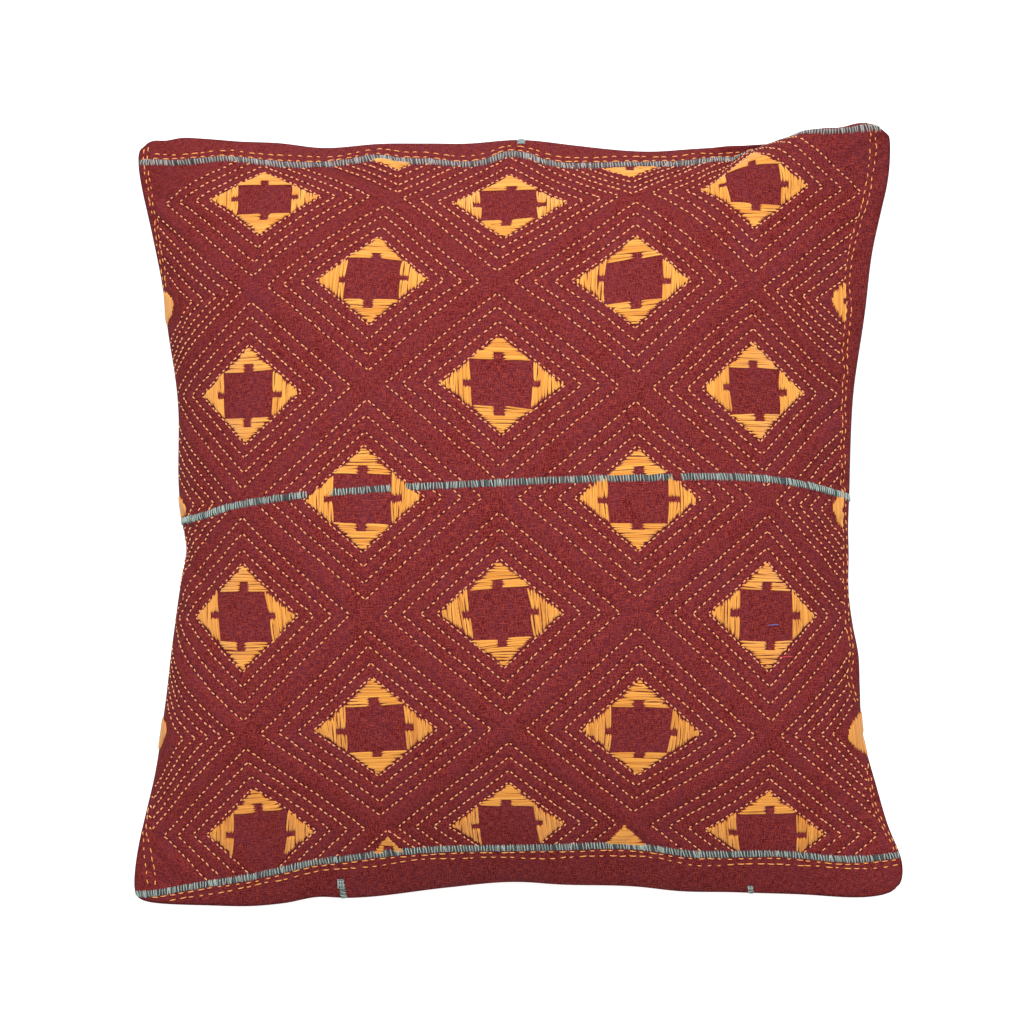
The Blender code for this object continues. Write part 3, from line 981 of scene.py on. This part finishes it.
def thread_piece(name, threads, material):
    """Threads on the face as one mesh: rings around each path, closed at both ends.

    Each ring is an oval of the thread's half width along the side of the path and its half
    height up from the face. Both shrink towards the ends by a rounded power, and the path
    sinks there into the cloth. Each of the threads is what batch returns.
    """
    vertices, faces, maps, tones = [], [], [], []
    start = 0
    for columns, rows, tone, (wide, tall, lift, blunt, sides) in threads:
        count, stations = columns.shape
        centre, upward = on_face(columns, rows)
        along = unit(np.gradient(centre, axis=1))
        aside = unit(np.cross(upward, along))
        t = np.linspace(-1, 1, stations)
        full = np.sqrt(np.clip(END_ROUND - np.abs(t) ** blunt, END_LEAST, 1))
        rise = lift * MM * (1 - np.abs(t) ** (blunt * RISE_POWER)) - tall * MM * SUNK
        centre = centre + upward * rise[None, :, None]
        angle = np.arange(sides) * (2 * math.pi / sides)
        wide = (full * (wide * MM))[None, :, None, None] * np.cos(angle)[:, None]
        tall = (full * (tall * MM))[None, :, None, None] * np.sin(angle)[:, None]
        ring = centre[:, :, None] + aside[:, :, None] * wide + upward[:, :, None] * tall
        vertices.append(ring.reshape(-1, 3))
        number = start + np.arange(count * stations * sides).reshape(count, stations, sides)
        after = np.roll(number, -1, axis=2)
        quads = [number[:, :-1], after[:, :-1], after[:, 1:], number[:, 1:]]
        quads = np.stack(quads, axis=-1).reshape(-1, 4)
        reach = np.linalg.norm(np.diff(centre, axis=1), axis=2)
        reach = np.concatenate([np.zeros((count, 1)), np.cumsum(reach, axis=1)], axis=1)
        reach = (reach * 1000)[:, :, None] + tone[:, None, None] * TONE_SHIFT
        here = np.broadcast_to(np.arange(sides) / sides, (count, stations, sides))
        reach = np.broadcast_to(reach, here.shape)
        low, high = here[:, :-1], here[:, :-1] + 1 / sides
        corners = [
            np.stack([reach[:, :-1], low], axis=-1),
            np.stack([reach[:, :-1], high], axis=-1),
            np.stack([reach[:, 1:], high], axis=-1),
            np.stack([reach[:, 1:], low], axis=-1),
        ]
        corners = np.stack(corners, axis=-2).reshape(-1, 2)
        ends = np.concatenate([number[:, 0, ::-1], number[:, -1]])
        flat = np.zeros((ends.size, 2))
        flat[:, 0] = np.repeat(np.concatenate([reach[:, 0, 0], reach[:, -1, 0]]), sides)
        faces += quads.tolist() + ends.tolist()
        maps += [corners, flat]
        tones.append(np.repeat(tone, stations * sides))
        start += number.size
    piece = new_piece(name, np.concatenate(vertices), faces, [material])
    give_map(piece, "thread", np.concatenate(maps))
    give_number(piece, "tone", np.concatenate(tones))
    return piece


def batch(kind, columns, rows, rng, tone=None):
    """Threads of one kind: columns and rows of their paths, the tone of each, their sizes."""
    if tone is None:
        tone = rng.uniform(0, 1, len(columns))
    return columns, rows, tone, THREADS[kind]


def spaced(columns, rows, pitch, share, rng, wander=0.18, uneven=0.22):
    """Stitches along a path: one for each pitch of its length on the face, filling a share of
    it. Each starts a little early or late, is uneven in length and wanders to the side."""
    reach = length_to(on_face(columns, rows)[0])
    count = max(1, round(reach[-1] / pitch))
    step = reach[-1] / count
    begin = (np.arange(count) + (1 - share) / 2 + rng.normal(0, START_CHANCE, count)) * step
    length = step * share * rng.uniform(1 - SHORTER * uneven, 1 + uneven, count)
    t = np.linspace(0, 1, STITCH_STATIONS)
    at = np.clip(begin[:, None] + length[:, None] * t, 0, reach[-1])
    across = rng.normal(0, wander, (count, 2)) * MM
    slide = across[:, :1] + (across[:, 1:] - across[:, :1]) * t
    run = np.hypot(columns[-1] - columns[0], rows[-1] - rows[0]) or 1.0
    column = np.interp(at, reach, columns) - slide / CELL_WIDTH * (rows[-1] - rows[0]) / run
    row = np.interp(at, reach, rows) + slide / CELL_HEIGHT * (columns[-1] - columns[0]) / run
    return column, row


def diamonds():
    """Every diamond's column and row that reaches the field between the borders."""
    places = [(column, row) for column in (-2, 0, 2) for row in (1, 3, 5, 7)]
    places += [(column, row) for column in (-1, 1) for row in (0, 2, 4, 6)]
    return places


def side_diamonds():
    """The diamonds that the side seams cut."""
    return [(column, row) for column in (-3, 3) for row in (2, 4, 6)]


@functools.cache
def border_line(side, number):
    """Rows from seam to seam, and the column of a border row at each: the outline's place
    across the page less the row's distance, read back from across_page. Where the row has
    gone over the edge it is put a whole column further out, so that nothing is cut there."""
    rows = np.linspace(0, BOTTOM_ROW, SIDE_PLACES)
    at, *insets = zip(*BORDERS[side])
    margins = np.interp(rows, at, insets[number]) * MM
    line = []
    for row, margin in zip(rows, margins):
        left, right = seam_columns(row)
        columns = np.linspace(left, right, PAGE_PLACES)
        page = across_page(columns, np.full(PAGE_PLACES, row))
        edge = page[0] if side < 0 else page[-1]
        line.append(float(np.interp(edge - side * margin, page, columns)) + side * (margin < 0))
    return rows, np.array(line)


def in_field(columns, rows, margin=0.035, side_margin=0.01):
    """True where stitches lie between the border rows and between the outer teal bands."""
    clear = rows > band_row("band_top", columns) + margin
    clear &= rows < band_row("band_bottom", columns) - margin
    left, right = seam_columns(rows)
    clear &= (columns > left + 0.012) & (columns < right - 0.012)
    for side in (-1, 1):
        limit = np.interp(rows, *border_line(side, 1))
        clear &= (columns - limit) * side < -side_margin
    return clear


def near_diamond(columns, rows):
    """True where the diamond that holds the place is one that is sewn. Its column plus and
    less its row are the odd numbers nearest to the place's own sum and difference."""
    total, apart = columns + rows, columns - rows
    total, apart = total - from_odd(total), apart - from_odd(apart)
    column, row = (total + apart) / 2, (total - apart) / 2
    sewn_there = (np.abs(column) < 3.5) & (row > -0.5) & (row < 7.5)
    return sewn_there & ~((np.abs(column) > 2.5) & (row < 0.5))


def trimmed(columns, rows, inside):
    """The part of each thread between its first and last station inside, at even steps."""
    stations = columns.shape[1]
    first = np.argmax(inside, axis=1)
    last = stations - 1 - np.argmax(inside[:, ::-1], axis=1)
    at = first[:, None] + (last - first)[:, None] * np.linspace(0, 1, stations)
    low = np.minimum(at.astype(int), stations - 2)
    part = at - low
    line = np.arange(len(columns))[:, None]
    read = [grid[line, low] * (1 - part) + grid[line, low + 1] * part for grid in (columns, rows)]
    long = last - first >= 3
    return read[0][long], read[1][long]


def ring_sides(column, row, distance):
    """The four straight sides of a diamond ring, corner to corner."""
    corners = [
        (column, row - distance),
        (column + distance, row),
        (column, row + distance),
        (column - distance, row),
    ]
    for k in range(4):
        (c0, r0), (c1, r1) = corners[k], corners[(k + 1) % 4]
        yield np.linspace(c0, c1, ROW_PLACES), np.linspace(r0, r1, ROW_PLACES)


def kept(columns, rows, keep):
    """Only the paths that are to be kept."""
    return columns[keep], rows[keep]


def joined(paths):
    """Paths from several places as one block of columns and one of rows."""
    return tuple(np.concatenate(grids) for grids in zip(*paths))


def running_rows(cushion, rng):
    """Stitches of all the rows around the diamonds, as columns and rows of their paths. The
    row around the satin is sewn closer, and the middle band's place is left free."""
    rings = [(c, r, d) for c, r in diamonds() for d in (SATIN_ROW, *RUNNING_ROWS)]
    rings += [(c, r, d) for c, r in side_diamonds() for d in SIDE_ROWS]
    paths = []
    for column, row, distance in rings:
        column, row = MIDDLES.get((column, row), (column, row))
        paths += [(path, distance < CLOSE_WITHIN) for path in ring_sides(column, row, distance)]
    tip_column, tip_row, half, high = BOTTOM_SATIN[0]
    for side in (-1, 1):
        across = tip_column + side * np.linspace(0, half * 2.0, ROW_PLACES)
        down = tip_row - TIP_ROW_GAP + np.linspace(0, high * 1.5, ROW_PLACES)
        paths.append(((across, down), False))
    stitches = []
    for path, close in paths:
        if not in_field(*path, margin=0.0).any():
            continue
        pitch = cushion.stitch_pitch * (CLOSE_PITCH if close else 1.0)
        c, r = spaced(*path, pitch, cushion.stitch_share, rng)
        field = in_field(c, r, 0.02, 0.0).all(axis=1)
        middle = np.abs(r - band_row("band_middle", c)).min(axis=1) > 0.03
        stitches.append(kept(c, r, field & middle))
    return joined(stitches)


def border_rows(cushion, rng):
    """Stitches of the double rows down both sides and beside the top and bottom bands."""
    stitches = []
    pitch = cushion.stitch_pitch * BORDER_PITCH
    for side in (-1, 1):
        for number in (0, 1):
            at, path = border_line(side, number)
            c, r = spaced(path[1:-1], at[1:-1], pitch, BORDER_SHARE, rng, **BORDER_CHANCE)
            left, right = seam_columns(r)
            seen = (c > left + 0.004) & (c < right - 0.004) & (r > 0.1)
            seen &= r < band_row("band_bottom", c) - 0.03
            stitches.append(kept(c, r, seen.all(axis=1)))
    along = np.linspace(-3.05, 3.0, 160)
    for name, away, gap, waves, last in BESIDE_BANDS:
        wave = waves * np.sin(along * 4.1 + gap * 9) + waves * np.sin(along * 9.7 + gap)
        path = band_row(name, along)
        path = path + away * (gap + wave) * MM / page_cell(along, path)[1]
        c, r = spaced(along, path, pitch * BESIDE_PITCH, BESIDE_SHARE, rng, **BORDER_CHANCE)
        seen = (r > 0.02) & (r < BOTTOM_ROW - 0.02) & (c < last)
        stitches.append(kept(c, r, seen.all(axis=1)))
    return joined(stitches)


def satin_triangle(column, row, turned, side, skew, cushion, rng):
    """Threads that fill one triangle between a diamond's edge and its square.

    Each thread lies across at its own distance from the middle and runs from edge to edge,
    so its half length is the edge's distance less its own. A notch parts the first ones. The
    skew turns the threads beside the square with its side and fades out towards the tip.
    """
    edge = SATIN_EDGE - SATIN_INSET
    half = (SQUARE_DOWN, SQUARE_ACROSS)[turned]
    step = cushion.satin_pitch / (CELL_HEIGHT, CELL_WIDTH)[turned]
    count = int((edge - half) / step)
    away = half + (np.arange(count) + 0.5) * (edge - half) / count
    away = away + rng.normal(0, PLACE_CHANCE, count)
    deep = NOTCH_DEEP[turned] * rng.uniform(0.85, 1.25)
    gap = NOTCH_WIDE[turned] * rng.uniform(0.9, 1.3)
    middle = rng.normal(0, NOTCH_CHANCE)
    lines = []
    for at in away:
        first = -(edge - at) + rng.normal(0, END_CHANCE)
        last = edge - at + rng.normal(0, END_CHANCE)
        lean = skew * (edge - at) / (edge - half)
        if at - half < deep:
            before = middle - gap / 2 - abs(rng.normal(0, NOTCH_SIDE_CHANCE))
            after = middle + gap / 2 + abs(rng.normal(0, NOTCH_SIDE_CHANCE))
            lines += [(first, before, at, lean), (after, last, at, lean)]
        elif last - first > 0.024:
            lines.append((first, last, at, lean))
    lines = [line for line in lines if line[1] - line[0] > 0.02]
    first, last, at, lean = (np.array(values)[:, None] for values in zip(*lines))
    tilt, bow = rng.normal(0, TILT_CHANCE, at.shape), rng.normal(0, BOW_CHANCE, at.shape)
    t = np.linspace(0, 1, SATIN_STATIONS)
    run = first + (last - first) * t
    away = at + lean * run + tilt * (2 * t - 1) + bow * (1 - (2 * t - 1) ** 2)
    if turned:
        return column + side * away, row + run
    return column + run, row + side * away


def side_satin(tip, base, first, last, tip_row, cushion, rng):
    """Threads of satin beside a border, along the border: the tip is blunt, so their lengths
    grow with the root of the distance from it. On the right the last two are parted."""
    count = max(3, round(abs(base - tip) * CELL_WIDTH / cushion.satin_pitch))
    share = (np.arange(count)[:, None] + 0.5) / count
    grown = share**0.55
    t = np.linspace(0, 1, SATIN_STATIONS)
    top = tip_row + (first - tip_row) * grown + rng.normal(0, 0.008, (count, 1))
    bottom = tip_row + (last - tip_row) * grown + rng.normal(0, 0.008, (count, 1))
    columns = tip + (base - tip) * share + rng.normal(0, 0.003, (count, 1)) * (2 * t - 1)
    rows = top + (bottom - top) * t
    if tip > 0:
        upper, lower = tip_row - PARTED, tip_row + PARTED
        above = upper + (top[-2:] - upper) * (1 - t)
        below = lower + (bottom[-2:] - lower) * t
        columns = np.concatenate([columns, columns[-2:]])
        rows = np.concatenate([rows[:-2], above, below])
    return columns, rows


def bottom_satin(tip_column, tip_row, half, high, cushion, rng):
    """Threads across a small triangle that widens from its tip down to the bottom band. On the
    left a notch parts the lower ones."""
    count = round(high * CELL_HEIGHT / cushion.satin_pitch)
    share = (np.arange(count)[:, None] + 0.6) / count
    t = np.linspace(-1, 1, SATIN_STATIONS)
    reach = half * share + rng.normal(0, 0.006, (count, 1))
    columns = tip_column + reach * t
    rows = tip_row + high * share + rng.normal(0, 0.004, (count, 1)) * t
    if tip_column > 0:
        return columns, rows
    notched = share[:, 0] > BOTTOM_NOTCH
    t = (t + 1) / 2
    left = tip_column - reach[notched] + (reach[notched] - BOTTOM_PARTED) * t
    right = tip_column + BOTTOM_PARTED + (reach[notched] - BOTTOM_PARTED) * t
    columns = np.concatenate([columns[~notched], left, right])
    return columns, np.concatenate([rows[~notched], rows[notched], rows[notched]])


def satin_threads(cushion, rng):
    """Threads of all the satin, as columns and rows of their paths. The bottom row's diamonds
    have none below their squares."""
    paths = []
    for place in diamonds():
        column, row = MIDDLES.get(place, place)
        leans = rng.normal(0, PAIR_LEAN, 2)
        for turned in (False, True):
            for side in (-1, 1):
                skew = side * leans[int(turned)] + rng.normal(0, SIDE_LEAN)
                path = satin_triangle(column, row, turned, side, skew, cushion, rng)
                if row < 7 or turned or side < 0:
                    paths.append(path)
    columns, rows = joined(paths)
    inside = in_field(columns, rows, 0.015)
    some = inside.any(axis=1)
    paths = [trimmed(columns[some], rows[some], inside[some])]
    paths += [side_satin(*values, cushion, rng) for values in SIDE_SATIN]
    paths += [bottom_satin(*values, cushion, rng) for values in BOTTOM_SATIN]
    return joined(paths)


def band_columns(name):
    """First and last column of a band: its path's ends, or just inside the seams."""
    (left, left_row), (right, right_row) = BAND_PATHS[name][0], BAND_PATHS[name][-1]
    first = max(left, seam_columns(left_row)[0] + BAND_END)
    last = min(right, seam_columns(right_row)[1] - BAND_END)
    return first, last


def band_stitches(name, cushion, rng):
    """Short stitches across a band, slanted a little, one for each pitch of its length."""
    first, last = band_columns(name)
    columns = np.linspace(first, last, PAGE_PLACES)
    rows = band_row(name, columns)
    reach = length_to(on_face(columns, rows)[0])
    count = round(reach[-1] / cushion.band_pitch)
    at = (np.arange(count) + 0.5 + rng.normal(0, BAND_WANDER, count)) * reach[-1] / count
    column = np.interp(at, reach, columns)
    if name == "band_middle":
        for start, end in BAND_COVERED:
            page = across_page(column, band_row(name, column)) / MM
            column = column[(page < start) | (page > end)]
    t = np.linspace(-1, 1, 6)
    count = len(column)
    middle = band_row(name, column)
    wide, high = (size[:, None] for size in page_cell(column, middle))
    slant = rng.normal(*BAND_SLANT, (count, 1)) * MM / wide
    half = BAND_SHARES[name] * cushion.band_width / 2
    length = half * rng.uniform(*BAND_UNEVEN, (count, 1)) / high
    place = middle[:, None] + rng.normal(0, BAND_WANDER, (count, 1)) * MM / high
    return column[:, None] + slant * t, place + length * t


def tack_threads(first_column, first_row, last_column, last_row, width, strands, rng):
    """Short stitches across a tack from one end to the other, and strands over its first part."""
    count = max(3, round((last_row - first_row) * CELL_HEIGHT / TACK_PITCH))
    share = (np.arange(count)[:, None] + 0.5) / count
    t = np.linspace(-1, 1, 7)
    reach = width / 2 / CELL_WIDTH * rng.uniform(*TACK_UNEVEN, (count, 1))
    columns = first_column + (last_column - first_column) * share + reach * t
    slant = rng.normal(0, TACK_SLANT, (count, 1))
    rows = first_row + (last_row - first_row) * share + slant * t
    tone = (np.arange(count) % 2) * 0.6 + rng.uniform(0, 0.4, count)
    threads = [batch("tack", columns, rows, rng, tone)]
    if strands:
        aside = (np.arange(strands)[:, None] - (strands - 1) / 2) / strands
        columns = first_column + aside * width / CELL_WIDTH + 0 * t
        rows = first_row + (last_row - first_row) * STRAND_REACH * (t + 1) / 2 + 0 * aside
        tone = rng.uniform(0.7, 1.0, strands)
        threads.append(batch("tack strand", columns, rows, rng, tone))
    return threads


def length_value(name, description, default):
    """A length property."""
    return FloatProperty(name=name, description=description, default=default, unit="LENGTH")


def colour_value(name, description, *default):
    """A colour property."""
    return FloatVectorProperty(name=name, description=description, default=default, subtype="COLOR")


class CushionSettings(bpy.types.PropertyGroup):
    pressure: FloatProperty(
        name="Pressure", description="Air pressure that puffs the trial cloth", default=6.0, min=0
    )
    most_move: length_value("Most movement", "The furthest that the cloth may leave the form", 5 * MM)
    quilting: FloatProperty(
        name="Quilting", description="Strength of the quilted relief", default=1.0, min=0
    )
    stitch_pitch: length_value("Stitch pitch", "From one running stitch to the next", 3.6 * MM)
    stitch_share: FloatProperty(
        name="Stitch share",
        description="Part of the pitch that shows on top",
        default=0.64,
        subtype="FACTOR",
    )
    satin_pitch: length_value("Satin pitch", "From one satin thread to the next", 0.84 * MM)
    band_width: length_value("Band width", "Width of a teal band", 4.1 * MM)
    band_pitch: length_value("Band pitch", "From one teal stitch to the next", 0.82 * MM)
    seed: IntProperty(name="Seed", description="Chance of the hand stitching", default=7)


class CushionColours(bpy.types.PropertyGroup):
    cloth_light: colour_value("Cloth, light", "Red threads of the cotton", 0.292, 0.044, 0.034)
    cloth_dark: colour_value("Cloth, dark", "Plum threads that cross the red", 0.080, 0.004, 0.005)
    cloth_plum: colour_value("Cloth, plum", "Purple cast of the cotton", 0.105, 0.016, 0.028)
    amber_light: colour_value("Amber, light", "Lightest satin thread", 0.93, 0.41, 0.068)
    amber_dark: colour_value("Amber, dark", "Darkest satin thread", 0.63, 0.215, 0.020)
    pale_light: colour_value("Running thread, light", "Lightest running stitch", 1.0, 0.45, 0.20)
    pale_dark: colour_value("Running thread, dark", "Darkest running stitch", 0.95, 0.33, 0.12)
    grey_light: colour_value("Top band, light", "Lightest stitch of the top band", 0.50, 0.49, 0.46)
    grey_dark: colour_value("Top band, dark", "Darkest stitch of the top band", 0.012, 0.016, 0.020)
    teal_light: colour_value("Teal, light", "Lightest band stitch", 0.50, 0.62, 0.56)
    teal_dark: colour_value("Teal, dark", "Darkest band stitch", 0.006, 0.024, 0.030)


def ready(context):
    """The settings and the colours, once the cover is sewn."""
    if not sewn:
        raise RuntimeError("sew the cover first")
    return context.scene.kantha, context.scene.kantha_colours


class SewCover(bpy.types.Operator):
    """Sew and fill the cover: a trial cloth puffs the form, then the quilting is laid on it"""

    bl_idname = "kantha.sew_cover"
    bl_label = "Sew the cover"

    def execute(self, context):
        cushion, colours = context.scene.kantha, context.scene.kantha_colours
        columns, rows, face, rings = cover_form(ACROSS_STEPS, DOWN_STEPS, BACK_STEPS)
        on_front = face.size // 3
        move = np.zeros((on_front + rings.size // 3 + 1, 3))
        front, under = cover_faces(ACROSS_STEPS, DOWN_STEPS, BACK_STEPS)
        points = gather(face, rings)
        left, right = seam_columns(rows)
        near = np.minimum.reduce([columns - left, right - columns, rows, BOTTOM_ROW - rows])
        near = 1 - np.clip(near / SLACK_CELLS, 0, 1)
        below = np.clip(1 - np.arange(BACK_STEPS) / SLACK_RINGS, 0, 1)
        slack = np.concatenate([near.reshape(-1), np.repeat(below, rings.shape[1]), [0]])
        rough = np.random.default_rng(cushion.seed).normal(0, UNEVEN, points.shape)
        points = points + rough * slack[:, None]
        pinned = seam_loop(DOWN_STEPS + 1, ACROSS_STEPS + 1)
        trial = puffed(
            points, front + under, slack, pinned, cushion.pressure, TRIAL_FRAMES
        )
        move = capped(trial - points, cushion.most_move)
        sheet = refined(refined(move[:on_front].reshape(face.shape), 0), 1)
        drawn = refined(move[on_front:-1].reshape(rings.shape), 1, closed=True)
        columns, rows, face, rings = cover_form(2 * ACROSS_STEPS, 2 * DOWN_STEPS, 2 * BACK_STEPS)
        face = face + sheet
        seam_move = sheet.reshape(-1, 3)[seam_loop(*face.shape[:2])]
        rings = rings + refined(np.concatenate([seam_move[None], drawn]), 0)[1:]
        rings[..., 2] = np.maximum(rings[..., 2], 0)
        normals = grid_normals(face)
        face = face + normals * relief(columns, rows, cushion.quilting)[..., None]
        sewn["points"], sewn["normals"] = face, normals
        front, under = cover_faces(2 * ACROSS_STEPS, 2 * DOWN_STEPS, 2 * BACK_STEPS)
        points = gather(face, rings)
        shades = colours.cloth_light, colours.cloth_dark, colours.cloth_plum
        materials = [
            cotton("maroon cotton face", *shades, True),
            cotton("maroon cotton back", *shades, False),
        ]
        slots = np.repeat([0, 1], [len(front), len(under)])
        cover = new_piece("filled_cover", points, front + under, materials, slots)
        flat = np.stack([columns * CELL_WIDTH, rows * CELL_HEIGHT], axis=-1).reshape(-1, 2)
        flat = np.concatenate([flat, points[len(flat) :, :2]])
        corner = np.empty(len(cover.data.loops), int)
        cover.data.loops.foreach_get("vertex_index", corner)
        of_front = (np.arange(len(corner)) < len(front) * 4)[:, None]
        give_map(cover, "cloth", np.where(of_front, flat[corner], points[corner, :2]))
        sewable = in_field(columns, rows, 0.0, 0.0) & near_diamond(columns, rows)
        field = np.zeros(len(points))
        field[: sewable.size] = sewable.reshape(-1)
        give_number(cover, "field", field)
        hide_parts("cushion")
        return {"FINISHED"}


class SewSatin(bpy.types.Operator):
    """Fill the diamonds with satin stitch around their notched squares"""

    bl_idname = "kantha.sew_satin"
    bl_label = "Satin diamonds"

    def execute(self, context):
        cushion, colours = ready(context)
        rng = np.random.default_rng(cushion.seed)
        columns, rows = satin_threads(cushion, rng)
        upright = np.ptp(rows, axis=1) * CELL_HEIGHT > np.ptp(columns, axis=1) * CELL_WIDTH
        # Painted shade: the satin is darker down the page, and upright threads are darker than those
        # across it
        painted_shade = np.interp(rows.mean(axis=1), PAINTED_SHADE_ROWS, PAINTED_SHADES)
        painted_shade = painted_shade * np.where(upright, 1.0, PAINTED_SHADE_ACROSS)
        tone = rng.uniform(0, 1, len(columns)) - painted_shade
        threads = [batch("satin", columns, rows, rng, tone)]
        thread = embroidery_cotton("amber satin thread", colours.amber_light, colours.amber_dark)
        piece = thread_piece("satin_diamonds", threads, thread)
        return {"FINISHED"}


class SewRunning(bpy.types.Operator):
    """Sew the rows of running stitch around the diamonds and along the borders"""

    bl_idname = "kantha.sew_running"
    bl_label = "Running stitches"

    def execute(self, context):
        cushion, colours = ready(context)
        rng = np.random.default_rng(cushion.seed + 1)
        thread = embroidery_cotton("pale running thread", colours.pale_light, colours.pale_dark)
        columns, rows = running_rows(cushion, rng)
        upper = rows.mean(axis=1) < PIECES_PART
        for name, keep in (("running_stitches_upper", upper), ("running_stitches_lower", ~upper)):
            threads = [batch("running", *kept(columns, rows, keep), rng)]
            thread_piece(name, threads, thread)
        columns, rows = border_rows(cushion, rng)
        thread = embroidery_cotton("orange border thread", colours.amber_light, colours.pale_dark)
        threads = [batch("border", columns, rows, rng)]
        thread_piece("border_stitches", threads, thread)
        for number, (start, end, colour) in enumerate(STRAYS):
            t = np.linspace(0, 1, 6)[None]
            columns, rows = (start[k] + (end[k] - start[k]) * t for k in (0, 1))
            threads = [batch("stray", columns, rows, rng)]
            thread = embroidery_cotton(f"stray thread {number}", colour, colour)
            thread_piece(f"stray_stitch_{number}", threads, thread)
        return {"FINISHED"}


class SewBands(bpy.types.Operator):
    """Sew the three teal bands and the teal tacks over the edges"""

    bl_idname = "kantha.sew_bands"
    bl_label = "Teal bands"

    def execute(self, context):
        cushion, colours = ready(context)
        rng = np.random.default_rng(cushion.seed + 2)
        thread = embroidery_cotton("teal band thread", colours.teal_light, colours.teal_dark)
        grey = embroidery_cotton("grey band thread", colours.grey_light, colours.grey_dark)
        for name in BAND_PATHS:
            columns, rows = band_stitches(name, cushion, rng)
            changed = rng.uniform(size=len(columns)) < BAND_CHANGED
            light = (np.arange(len(columns)) % 2 == 0) ^ changed
            threads = []
            for kind, part in (("light band", light), ("dark band", ~light)):
                tone = rng.uniform(*BAND_TONES[kind], part.sum())
                threads.append(batch(kind, *kept(columns, rows, part), rng, tone))
            piece = thread_piece(name + "_stitches", threads, grey if name == "band_top" else thread)
            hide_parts(name)
        for name, (*ends, width, strands) in TACKS.items():
            threads = tack_threads(*ends, width, strands, rng)
            piece = thread_piece(name + "_stitches", threads, thread)
            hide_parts(name)
        return {"FINISHED"}


class SetStage(bpy.types.Operator):
    """Set the pale floor, the soft lights and the camera straight above"""

    bl_idname = "kantha.set_stage"
    bl_label = "Stage"

    def execute(self, context):
        scene = context.scene
        scene.view_settings.view_transform = "Standard"
        bpy.ops.mesh.primitive_plane_add(size=12)
        floor = context.object
        floor.name = "floor"
        recipe = Recipe("pale floor", 0.9)
        recipe.fill(recipe.shader.inputs["Base Color"], (0.40, 0.40, 0.40))
        recipe.fill(recipe.shader.inputs["Emission Color"], (1.0, 1.0, 1.0))
        recipe.shader.inputs["Emission Strength"].default_value = 0.92
        floor.data.materials.append(recipe.material)
        world = bpy.data.worlds.new("studio")
        scene.world = world
        world.use_nodes = True
        world.node_tree.nodes["Background"].inputs[0].default_value = (1, 1, 1, 1)
        world.node_tree.nodes["Background"].inputs[1].default_value = 0.33
        lamp = bpy.data.lights.new("key", "AREA")
        lamp.size = LAMP_SIZE
        lamp.energy = LAMP_POWER
        holder = bpy.data.objects.new("key", lamp)
        holder.location = LAMP_PLACE
        back = np.array(LAMP_PLACE) / np.linalg.norm(LAMP_PLACE)
        turn = math.atan2(back[1], back[0]) + math.pi / 2
        holder.rotation_euler = (math.acos(back[2]), 0, turn)
        scene.collection.objects.link(holder)
        camera = bpy.data.cameras.new("photo_view")
        camera.sensor_width = CAMERA_SENSOR
        camera.lens = CAMERA_SENSOR * CAMERA_HEIGHT / CAMERA_SEES
        viewer = bpy.data.objects.new("photo_view", camera)
        viewer.location = (*CAMERA_PLACE, CAMERA_HEIGHT + SEAM_HEIGHT)
        scene.collection.objects.link(viewer)
        scene.camera = viewer
        return {"FINISHED"}


class KanthaPanel(bpy.types.Panel):
    """Steps of the cushion cover, in order"""

    bl_idname = "VIEW3D_PT_kantha"
    bl_label = "Kantha cushion"
    bl_space_type = "VIEW_3D"
    bl_region_type = "UI"
    bl_category = "Cushion"

    def draw(self, context):
        for group in (context.scene.kantha, context.scene.kantha_colours):
            for name in group.bl_rna.properties.keys():
                if name not in {"rna_type", "name"}:
                    self.layout.prop(group, name)
        for step in STEPS:
            self.layout.operator(step.bl_idname)


STEPS = (SewCover, SewSatin, SewRunning, SewBands, SetStage)
CLASSES = (CushionSettings, CushionColours, *STEPS, KanthaPanel)


def register():
    for kind in CLASSES:
        bpy.utils.register_class(kind)
    bpy.types.Scene.kantha = PointerProperty(type=CushionSettings)
    bpy.types.Scene.kantha_colours = PointerProperty(type=CushionColours)


def unregister():
    del bpy.types.Scene.kantha_colours
    del bpy.types.Scene.kantha
    for kind in reversed(CLASSES):
        bpy.utils.unregister_class(kind)


def main():
    register()
    bpy.ops.kantha.set_stage()
    bpy.ops.kantha.sew_cover()
    bpy.ops.kantha.sew_satin()
    bpy.ops.kantha.sew_running()
    bpy.ops.kantha.sew_bands()


if __name__ == "__main__":
    main()
